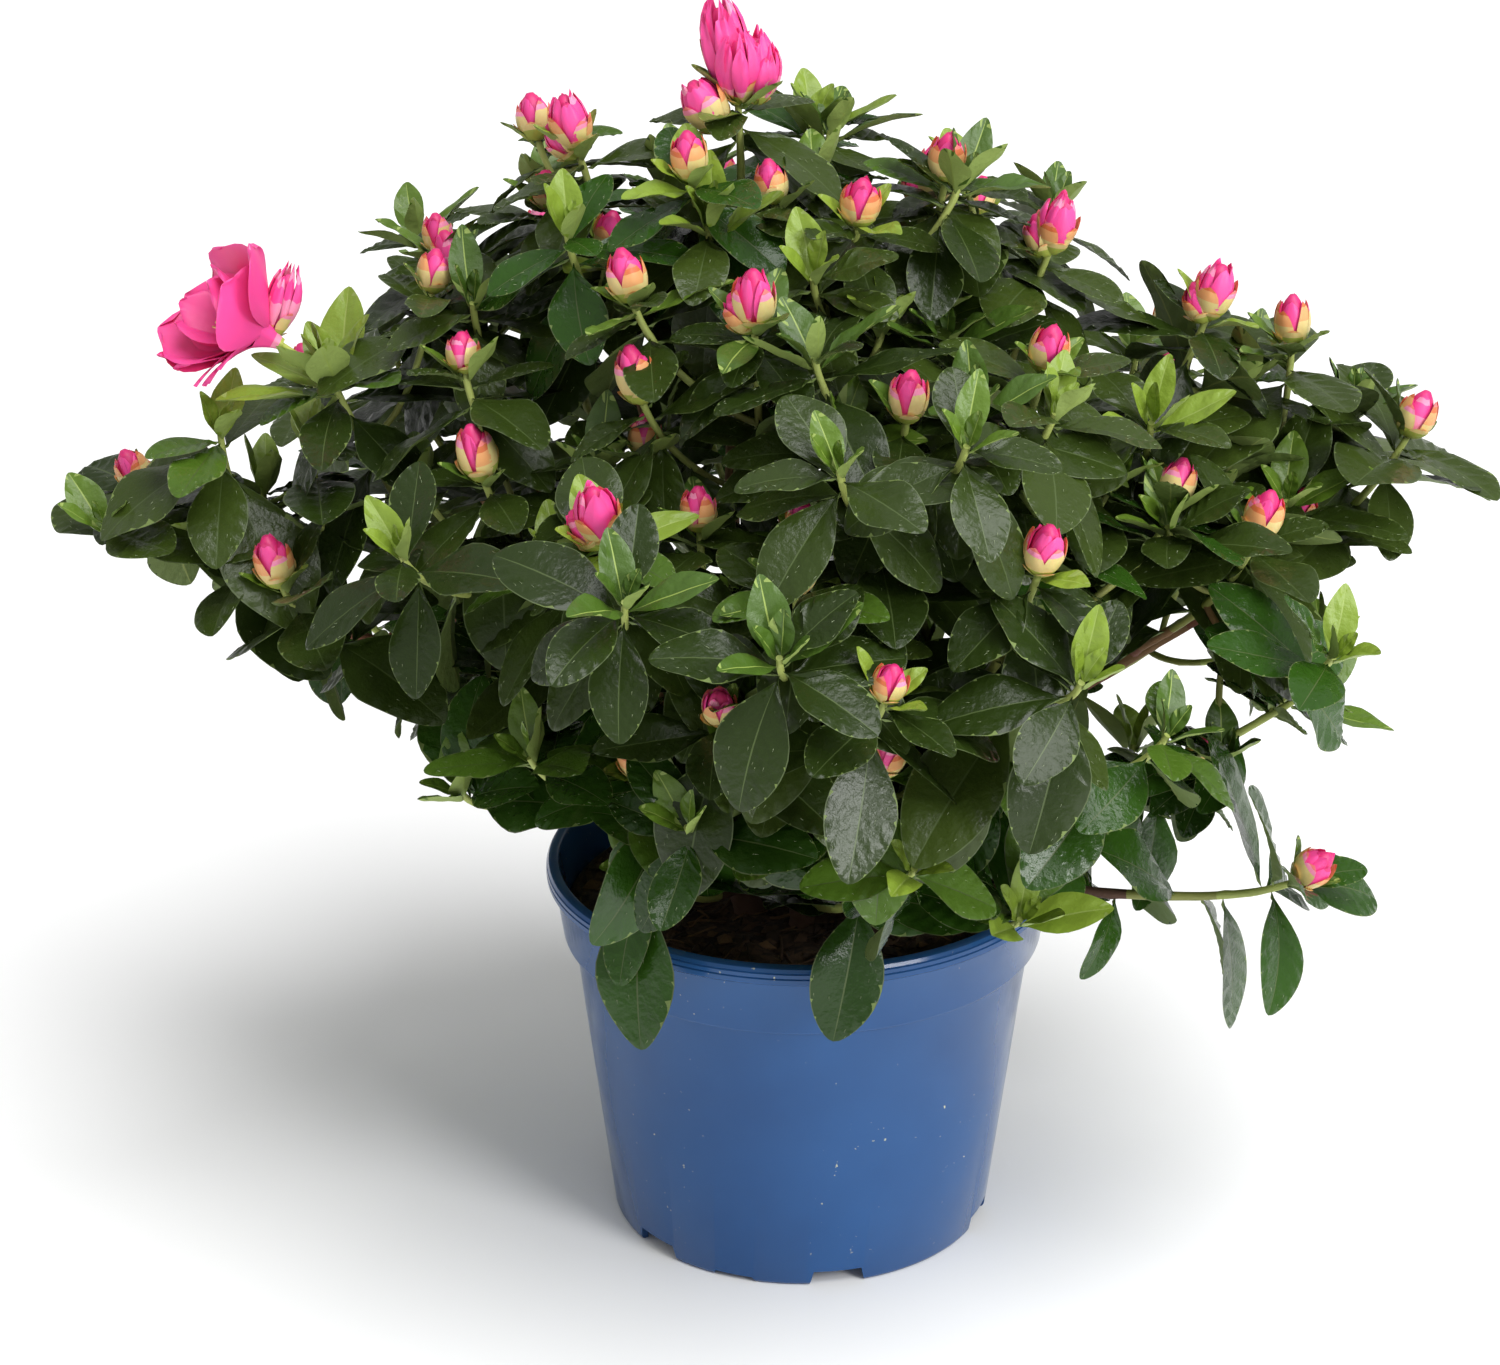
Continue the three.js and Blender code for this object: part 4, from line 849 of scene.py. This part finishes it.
def add_scale(
    pile, tip, axis, first, length, radius, *,
    turn, half, low, high, hold, lift, bulge, twist, ruffle, phase, blunt, openness, tones,
):
    """A scale or petal wrapped on a bud, between two shares of its height and twice the half angle wide."""
    t, v, under = SCALE_NET.t, SCALE_NET.v, SCALE_NET.under
    width = np.clip(2.6 * t, 0, 1) ** 0.5 * np.clip(1 - t**blunt, 0, 1) ** 0.6
    ruffle = ruffle * np.sin(5 * v + 3 * t + phase) * t
    angle = (turn + v * half * width + twist * t**2)[:, None]
    s = low + (high - low) * (t + 0.04 * ruffle)
    arch = bulge * (1 - v**2)
    girth = radius * ovoid_radius(np.minimum(s, hold), openness) * (1 + 0.08 * ruffle)
    girth = girth + lift * (0.3 + 0.7 * t**2) + arch * np.sin(np.pi * t**0.7) - under * (0.35 + arch * 0.6)
    radial = np.cos(angle) * first + np.sin(angle) * np.cross(axis, first)
    points = tip + (s * length)[:, None] * axis + girth[:, None] * radial
    pile.add(points, SCALE_NET.faces, np.array(tones)[SCALE_NET.kinds])


def add_bud(pile, tip, axis, length, radius, openness, seed, pale=False):
    """A bud: creased petals that show at its top, and papery scales that overlap round its foot."""
    draw = seeded(seed)
    axis = unit(axis)
    first = unit(np.cross(axis, TUBE_REFERENCE))
    shares = np.concatenate([[0.0], np.linspace(0.05, 0.97, 9)])
    points = tip + (shares * length * (1 - 0.12 * openness))[:, None] * axis
    # The core shows only in the folds between the petals: lime at its foot, and above that a pink darker than
    # the petals, which is painted shade in the folds.
    core, faces, which = tube(points, radius * (0.9 - 0.25 * openness) * ovoid_radius(shares, openness), 10)
    pile.add(core, faces, np.where(which < 2, LIME, PINK if pale else DEEP_PINK_AND_FOLD_SHADE))
    count = 14 if openness == 1.0 and not pale else 4 + int(5.9 * openness)
    for k in range(count):
        inner = k % 2
        deep = DEEP_PINK_AND_FOLD_SHADE if draw() < 0.35 else PINK
        flush = PALE_PINK if pale or draw() < 0.15 else PINK
        add_scale(
            pile, tip, axis, first, length, radius * (0.98 - 0.14 * inner), openness=openness,
            turn=k * 2 * math.pi / count + 0.5 * (draw() - 0.5),
            half=(0.9 - 0.43 * openness) * (0.8 + 0.4 * draw()),
            low=0.12, high=0.82 + 0.14 * draw() * (0.4 + openness) + 0.06 * inner, hold=0.82 + 0.14 * openness,
            lift=0.1 + 0.5 * openness * draw(), bulge=0.35 + 0.85 * openness, twist=0.35 * (draw() - 0.5),
            ruffle=0.4 + 0.8 * openness, phase=6 * draw(), blunt=5 - (1.8 if pale else 0.6) * openness,
            tones=[PEACH, PALE_PINK, flush, flush, PINK, PINK, flush, deep],
        )
    scales = 9 if openness < 0.6 else 5
    for k in range(scales):
        low_one = k > scales - 4
        high = (0.3 if low_one else 0.72) + 0.2 * draw() - 0.32 * openness
        add_scale(
            pile, tip, axis, first, length, radius * 1.03, openness=openness,
            turn=math.radians(k * GOLDEN_ANGLE) + 0.4 * draw(), half=0.62 + 0.25 * draw(), low=0.0, high=high,
            hold=0.9, lift=0.7 + 0.11 * k + 0.2 * draw(), bulge=0.15, twist=0.2 * (draw() - 0.5), ruffle=0.25,
            phase=6 * draw(), blunt=2.5,
            tones=SCALE_TONES[0] if low_one else SCALE_TONES[1 + int(3 * draw())],
        )


PETAL_WIDEST, PETAL_CUP = 0.6, 0.2
PETAL_COLUMNS = (-1, -0.75, -0.45, -0.15, 0.15, 0.45, 0.75, 1)
PETAL_ROWS = (0.05, 0.14, 0.26, 0.38, 0.5, 0.62, 0.73, 0.83, 0.91, 0.96, 0.99)
PETAL_NET = Net(PETAL_ROWS, PETAL_COLUMNS, PETAL_COLUMNS, by_row)


def add_petal(pile, base, along, face, size, width, curl, ruffle, phase, tones):
    """A broad wavy petal that rises from its claw and bends back."""
    t, v, under = PETAL_NET.t, PETAL_NET.v, PETAL_NET.under
    across = np.cross(face, along)
    rounded = np.sqrt(1 - np.clip((t - PETAL_WIDEST) / (1 - PETAL_WIDEST), 0, 1) ** 2)
    half = 0.5 * width * (0.1 + 0.9 * np.sin(np.pi / 2 * np.clip(t / PETAL_WIDEST, 0, 1)) ** 1.1) * rounded
    wave = ruffle * size * t**2 * np.sin(6.5 * v + phase + 1.5 * t) * (0.25 + 0.75 * np.abs(v))
    veins = 0.22 * np.cos(14 * v) * np.sin(np.pi * t)
    rise = -PETAL_CUP * size * t * (1 - t) * 1.6 - curl * size * t**3
    rise = rise + 0.3 * half * v**2 * (1 - t) + wave + veins - under * 0.3
    forward = size * (t - 0.1 * np.abs(v) ** 3 * t) + 0.012 * size * t * np.sin(8 * v + phase)
    points = base + forward[:, None] * along + (v * half)[:, None] * across + rise[:, None] * face
    pile.add(points, PETAL_NET.faces, np.array(tones)[PETAL_NET.kinds])


FLOWER_FACING = unit(np.array([-0.86, 0.0, 0.5]))
FLOWER_STALK, FUNNEL_LENGTH, FUNNEL_GIRTH = 19, 8, 3.6
# Petals of the double flower: turn round its axis from the near side, opening from the axis, length and width.
FLOWER_PETALS = (
    (146, 30, 31, 35), (44, 32, 25, 30), (245, 28, 34, 36), (80, 46, 29, 27), (278, 34, 32, 26),
    (100, 20, 25, 24), (75, 12, 23, 20), (200, 16, 27, 26), (222, 12, 27, 20), (262, 16, 26, 18),
    (290, 40, 27, 11), (302, 44, 23, 9), (285, 50, 21, 8), (318, 50, 17, 7), (10, 10, 16, 9),
    (120, 8, 20, 11), (200, 8, 19, 11),
)
OUTER_PETALS, NARROW_PETAL, STAMENS = 5, 12, 7
PALE_BUD_LENGTH, PALE_BUD_GIRTH = 24, 4.6


def add_open_flower(pile, tip, facing):
    """A double flower on a short stalk: a funnel, rings of wavy petals, and stamens turned to narrow petals."""
    draw = seeded(77)
    right = -unit(np.cross(facing, UP))
    shares = np.linspace(0, 1, 9)
    throat = tip + FLOWER_STALK * unit(facing + 0.1 * UP)
    stalk, faces, _ = tube(tip + (throat - tip) * shares[:, None], 0.9 + 0 * shares, 8)
    pile.add(stalk, faces, LIME)
    points = throat + (shares * FUNNEL_LENGTH - 1)[:, None] * facing
    radii = 1.8 + FUNNEL_GIRTH * shares**1.5
    funnel, faces, which = tube(points, radii, 20, lambda n, angles: 1 + 0.1 * np.cos(5 * angles))
    pile.add(funnel, faces, np.array([LIME, PALE_PINK, PALE_PINK] + [PINK] * 6)[which])
    for n, (turn, opening, size, width) in enumerate(FLOWER_PETALS):
        across = turned(right, facing, math.radians(turn + 8 * (draw() - 0.5)))
        angle = math.radians(90 - opening)
        along = unit(across * math.cos(angle) + facing * math.sin(angle))
        face = square_to(along, facing)
        low, out, claw = (5, 3, PINK) if n < OUTER_PETALS else (6.5, 2, PALE_PINK)
        curl, more_curl, ruffle = (0.02, 0.1, 0.03) if width > NARROW_PETAL else (0.1, 0.3, 0.045)
        add_petal(
            pile, throat + facing * low + across * out, along, face, size, width,
            curl + more_curl * draw(), ruffle, 6 * draw(),
            [claw] + [PINK] * 10 + [PALE_PINK if draw() < 0.2 else PINK],
        )
    for k in range(STAMENS):
        along = unit(facing + 0.25 * turned(right, facing, k * 2.4))
        points = throat + (10 + 11 * shares)[:, None] * along + 1.2 * math.sin(k) * right
        stamen, faces, which = tube(points, 0.35 + 0 * shares, 5)
        pile.add(stamen, faces, np.array([PINK] * 7 + [CREAM] * 2)[which])
    upright = unit(UP - 0.28 * facing - 0.1 * right)
    add_bud(pile, throat + 2 * facing - 2 * right, upright, PALE_BUD_LENGTH, PALE_BUD_GIRTH, 1.0, 78, pale=True)


# Buds of the crest's cluster: lean to the right and to the front, length, girth, openness, and where each
# stands from the tip, to the right, to the front and upward.
CREST_BUDS = (
    (-0.12, 0, 35, 6.6, 1.0, (-2, 0, 0)), (0.02, 0.1, 25, 6.3, 1.0, (1, 6, 0)),
    (0.12, 0, 24, 6.0, 1.0, (7, 3, 0)), (0.22, 0, 20, 5.0, 1.0, (10, 6, 0)),
    (-0.5, 0, 20, 6.2, 0.5, (-10, 8, -8)),
)
CREST_BUD, PAIRED_BUD, BUD_LENGTH, BUD_GIRTH = 1.4, 1.05, 19, 5.7


def make_blossom():
    pile = Pile()
    right, front = np.array([1.0, 0, 0]), np.array([0, -1.0, 0])
    for shoot in shoots:
        tip, axis = shoot.at(1.0), unit(shoot.along(1.0) + 0.35 * UP)
        seed = 3000 + shoot.index * 11 + shoot.order
        length, radius = BUD_LENGTH * shoot.bud**0.8, BUD_GIRTH * math.sqrt(shoot.bud)
        if shoot.more.get("flower") and shoot.order == 0:
            add_open_flower(pile, tip, FLOWER_FACING)
        elif shoot.bud > CREST_BUD:
            for n, (lean, forward_lean, reach, girth, openness, place) in enumerate(CREST_BUDS):
                foot = tip + place[0] * 0.55 * right + place[1] * 0.7 * front + place[2] * UP
                bud_axis = unit(axis + lean * right + forward_lean * front)
                add_bud(pile, foot, bud_axis, reach, girth, openness, seed + n)
        elif shoot.bud > PAIRED_BUD:
            side = unit(np.cross(axis, np.array([0.2, 1, 0])))
            add_bud(pile, tip, axis, length, radius * 0.94, shoot.more.get("open", 0.5), seed)
            add_bud(pile, tip - axis, unit(axis + 0.6 * side), length * 0.7, radius * 0.75, 0.2, seed + 1)
        elif shoot.bud:
            draw = seeded(seed)
            add_bud(pile, tip, axis, length * (0.85 + 0.25 * draw()), radius * 0.94, 0.35 * draw() ** 2, seed)
    pile.piece("buds_and_flower", BLOSSOM_MATERIALS, (), 70)


# Pot and soil


def lathe(profile, sides):
    """A closed solid of revolution from a profile that starts and ends on the axis."""
    angles = np.arange(sides) * 2 * np.pi / sides
    rings = [np.stack([r * np.cos(angles), r * np.sin(angles), np.full(sides, z)], 1) for r, z in profile[1:-1]]
    return closed(rings, [(0, 0, profile[0][1]), (0, 0, profile[-1][1])])[:2]


def pot_material():
    """Blue plastic with faint clouds, pale specks of dirt in patches, and a gloss that varies a little."""
    material = plain("pot_plastic", (36, 77, 129), 0.38, (260, 0.12, 0.3), Specular_IOR_Level=0.32)
    tree = material.node_tree
    shader = tree.nodes["Principled BSDF"]
    place = tree.nodes.new("ShaderNodeTexCoord")

    def ramp_of(scale, low, dark, high, light, detail=4):
        ramp = tree.nodes.new("ShaderNodeValToRGB")
        for element, position, rgb in zip(ramp.color_ramp.elements, (low, high), (dark, light)):
            element.position, element.color = position, (*linear(rgb), 1)
        tree.links.new(add_noise(tree, place, scale, detail), ramp.inputs["Fac"])
        return ramp.outputs["Color"]

    black, white = (0, 0, 0), (255, 255, 255)
    both = tree.nodes.new("ShaderNodeMath")
    both.operation = "MULTIPLY"
    tree.links.new(ramp_of(420, 0.72, black, 0.76, white, 2), both.inputs[0])
    tree.links.new(ramp_of(34, 0.5, black, 0.66, white), both.inputs[1])
    mix = tree.nodes.new("ShaderNodeMix")
    mix.data_type = "RGBA"
    mix.inputs["B"].default_value = (*linear((196, 196, 160)), 1)
    tree.links.new(both.outputs["Value"], mix.inputs["Factor"])
    tree.links.new(ramp_of(16, 0.3, (32, 71, 121), 0.7, (39, 82, 135)), mix.inputs["A"])
    tree.links.new(mix.outputs["Result"], shader.inputs["Base Color"])
    tree.links.new(ramp_of(60, 0.3, (88, 88, 88), 0.75, (140, 140, 140)), shader.inputs["Roughness"])
    return material


def body_radius(z):
    return FOOT_RADIUS + (BODY_TOP_RADIUS - FOOT_RADIUS) * z / (POT_HEIGHT - COLLAR_HEIGHT)


def notch_cutter(width, height, turn):
    a = math.radians(turn)
    across, outward = np.array([math.cos(a), math.sin(a), 0]), np.array([math.sin(a), -math.cos(a), 0])
    vertices = []
    for r in (FOOT_RADIUS - 12, FOOT_RADIUS + 12):
        for x, z in ((-width / 2 - 1.5, -1), (width / 2 + 1.5, -1), (width / 2, height), (-width / 2, height)):
            vertices.append(MM * (x * across + r * outward + z * UP))
    faces = [(3, 2, 1, 0), (4, 5, 6, 7), (1, 5, 4, 0), (2, 6, 5, 1), (3, 7, 6, 2), (0, 4, 7, 3)]
    mesh = bpy.data.meshes.new("notch")
    mesh.from_pydata(vertices, [], faces)
    mesh.update()
    return add_object("notch", mesh)


POT_SIDES, POT_SHARP = 144, 38


def make_pot():
    foot, lip = POT_HEIGHT - COLLAR_HEIGHT, POT_HEIGHT - LIP_HEIGHT
    floor = FLOOR_HEIGHT + FLOOR_THICKNESS
    profile = [
        (0, 0), (CENTRE_PAD_RADIUS - 2, 0), (CENTRE_PAD_RADIUS, FLOOR_HEIGHT),
        (body_radius(FLOOR_HEIGHT) - WALL, FLOOR_HEIGHT), (FOOT_RADIUS - 2.9, 0), (FOOT_RADIUS - 1.5, 0),
        (FOOT_RADIUS - 0.4, 0.5), (body_radius(1.6), 1.6), (body_radius(50), 50),
        (body_radius(foot - 1.4), foot - 1.4), (BODY_TOP_RADIUS + 0.3, foot - 0.7),
        (COLLAR_FOOT_RADIUS - 0.9, foot - 0.2), (COLLAR_FOOT_RADIUS - 0.2, foot + 0.3),
        (COLLAR_FOOT_RADIUS + 0.1, foot + 1.2), (COLLAR_TOP_RADIUS, lip - 0.9),
        (COLLAR_TOP_RADIUS + 0.5, lip - 0.4),
    ]
    rounds = ((0.7, 0), (0.1, 0.6), (0, 2.2), (0.45, 2.5), (0.05, 2.8), (0.1, 4.0), (0.55, 4.3), (0.25, 4.6))
    profile += [(RIM_RADIUS - inward, lip + rise) for inward, rise in rounds]
    profile += [
        (RIM_RADIUS - 0.8, POT_HEIGHT - 0.35), (RIM_RADIUS - 1.6, POT_HEIGHT),
        (COLLAR_TOP_RADIUS - WALL + 0.5, POT_HEIGHT), (COLLAR_TOP_RADIUS - WALL, POT_HEIGHT - 0.6),
        (COLLAR_FOOT_RADIUS - WALL, foot + 0.9), (BODY_TOP_RADIUS - WALL, foot - WALL),
        (body_radius(floor) - WALL, floor), (0, floor),
    ]
    pile = Pile()
    pile.add(*lathe(profile, POT_SIDES), 0)
    pot = pile.piece("pot_shell", [pot_material()], ("pot",), POT_SHARP)
    cutters = [notch_cutter(NICK_WIDTH, NICK_HEIGHT, NICK_TURN)]
    for i in range(NOTCH_COUNT):
        cutters.append(notch_cutter(NOTCH_WIDTH, NOTCH_HEIGHT, NOTCH_TURN + i * 360 / NOTCH_COUNT))
    for cutter in cutters:
        cut = pot.modifiers.new("cut", "BOOLEAN")
        cut.operation, cut.solver, cut.object = "DIFFERENCE", "EXACT", cutter
    graph = bpy.context.evaluated_depsgraph_get()
    shaped = bpy.data.meshes.new_from_object(pot.evaluated_get(graph))
    pot.modifiers.clear()
    pot.data = shaped
    shaped.set_sharp_from_angle(angle=math.radians(POT_SHARP))
    for cutter in cutters:
        bpy.data.objects.remove(cutter)


SOIL_RGB = [(58, 44, 34), (78, 58, 42), (40, 30, 24), (104, 78, 52)]
SOIL_SIDES, SOIL_RINGS, CRUMBS, CRUMB_REACH, FIBRES, FIBRE_REACH = 96, 34, 900, 76, 260, 72
CRUMB = np.array([(1, 0, 0), (-1, 0, 0), (0, 1, 0), (0, -1, 0), (0, 0, 1), (0, 0, -1)], float)
CRUMB_FACES = np.array([(4, 0, 2), (4, 2, 1), (4, 1, 3), (4, 3, 0), (5, 2, 0), (5, 1, 2), (5, 3, 1), (5, 0, 3)])


def soil_height(x, y):
    r = np.hypot(x, y)
    lumps = 1.2 * np.sin(x / 7 + 1) * np.sin(y / 6) + 0.8 * np.sin(x / 3.1 + y / 4)
    lumps = lumps + 0.5 * np.sin(y / 1.9 - x / 2.6)
    return SOIL_TOP - 0.6 - SOIL_EDGE_DROP * np.clip((r - 48) / 30, 0, 1) ** 1.6 + lumps * 0.8


def add_soil_bed(pile):
    foot, edge = FLOOR_HEIGHT + FLOOR_THICKNESS + 0.3, SOIL_EDGE_RADIUS
    profile = [(0, foot), (body_radius(foot) - 2.4, foot), (BODY_TOP_RADIUS - 2.5, 100)]
    profile += [(edge - 1, 104), (edge, 110)]
    profile += [(r, 0) for r in np.linspace(3, edge, SOIL_RINGS)[::-1][1:]] + [(0, 0)]
    vertices, faces = lathe(profile, SOIL_SIDES)
    top = vertices[:, 2] == 0
    vertices[top, 2] = soil_height(vertices[top, 0], vertices[top, 1])
    middle = vertices[faces].mean(1)
    tone = np.floor(2.2 * np.abs(np.sin(middle[:, 0] * 0.9) * np.sin(middle[:, 1] * 1.1))).astype(int)
    pile.add(vertices, faces, tone)


def add_crumb(pile, draw):
    r, a = CRUMB_REACH * math.sqrt(draw()), 2 * math.pi * draw()
    x, y = r * math.cos(a), r * math.sin(a)
    size = 0.8 + 2.2 * draw() ** 2
    shape = CRUMB * np.array([size * (0.6 + draw()), size * (0.6 + draw()), size * (0.4 + 0.5 * draw())])
    spin = 6 * draw()
    shape = np.stack([
        shape[:, 0] * math.cos(spin) - shape[:, 1] * math.sin(spin),
        shape[:, 0] * math.sin(spin) + shape[:, 1] * math.cos(spin), shape[:, 2],
    ], 1)
    pile.add(shape + np.array([x, y, soil_height(x, y) + 0.2 * size]), CRUMB_FACES, int(3.3 * draw()))


def add_fibre(pile, draw):
    r, a = FIBRE_REACH * math.sqrt(draw()), 2 * math.pi * draw()
    heading = 6 * draw()
    length, bend = 5 + 12 * draw(), draw() - 0.5
    s = np.linspace(0, 1, 6)
    x = r * math.cos(a) + length * s * math.cos(heading) - bend * 6 * s**2 * math.sin(heading)
    y = r * math.sin(a) + length * s * math.sin(heading) + bend * 6 * s**2 * math.cos(heading)
    if np.hypot(x, y).max() <= CRUMB_REACH:
        points = np.stack([x, y, soil_height(x, y) + 0.5 + 0.8 * draw() * np.sin(math.pi * s)], 1)
        fibre, faces, _ = tube(points, np.full(6, 0.25 + 0.3 * draw()), 5)
        pile.add(fibre, faces, int(1 + 2.9 * draw()))


def make_soil():
    materials = [plain(f"peat_{i}", rgb, 0.95, (600, 0.9, 0.8)) for i, rgb in enumerate(SOIL_RGB)]
    pile = Pile()
    add_soil_bed(pile)
    draw = seeded(4242)
    for add, count in ((add_crumb, CRUMBS), (add_fibre, FIBRES)):
        for _ in range(count):
            add(pile, draw)
    pile.piece("soil_bed", materials, ("soil",), 60)


make_leaves()
make_bristles()
make_young()
make_limbs()
make_twigs()
make_blossom()
make_pot()
make_soil()


# Stage, lights and camera


def make_floor():
    mesh = bpy.data.meshes.new("floor")
    mesh.from_pydata([(-6, -6, 0), (6, -6, 0), (6, 6, 0), (-6, 6, 0)], [], [(0, 1, 2, 3)])
    mesh.materials.append(plain("floor_white", (246, 246, 246), 0.9))
    add_object("floor", mesh)


def add_lamp(name, kind, energy, direction, place=(0, 0, 0)):
    light = bpy.data.lights.new(name, kind)
    light.energy = energy
    lamp = add_object(name, light)
    lamp.location = place
    lamp.rotation_euler = Vector(direction).to_track_quat("-Z", "Y").to_euler()
    return light


SUN_STRENGTH, SUN_ANGLE, SUN_DIRECTION = 2.6, 44, (-0.25, 0.32, -1.0)
KEY_POWER, KEY_SIZE, KEY_PLACE, KEY_AIM = 25, 0.8, (1.3, -1.4, 1.1), (0, 0, 0.2)
WORLD_STRENGTH = 0.5
CAMERA_PLACE, CAMERA_TILT, CAMERA_LENS, CAMERA_SENSOR = (-0.01735, -1.3, 0.7535), 66.556, 104.18, 36

make_floor()
add_lamp("sun", "SUN", SUN_STRENGTH, SUN_DIRECTION).angle = math.radians(SUN_ANGLE)
key = add_lamp("key", "AREA", KEY_POWER, np.array(KEY_AIM) - np.array(KEY_PLACE), KEY_PLACE)
key.shape, key.size = "DISK", KEY_SIZE

scene = bpy.context.scene
scene.world = bpy.data.worlds.new("studio")
scene.world.use_nodes = True
background = scene.world.node_tree.nodes["Background"]
background.inputs["Color"].default_value = (1, 1, 1, 1)
background.inputs["Strength"].default_value = WORLD_STRENGTH
scene.view_settings.view_transform = "Standard"

lens = bpy.data.cameras.new("camera")
lens.lens, lens.sensor_width = CAMERA_LENS, CAMERA_SENSOR
lens.clip_start, lens.clip_end = 0.05, 30
camera = add_object("camera", lens)
camera.location = CAMERA_PLACE
camera.rotation_euler = (math.radians(CAMERA_TILT), 0, 0)
scene.camera = camera
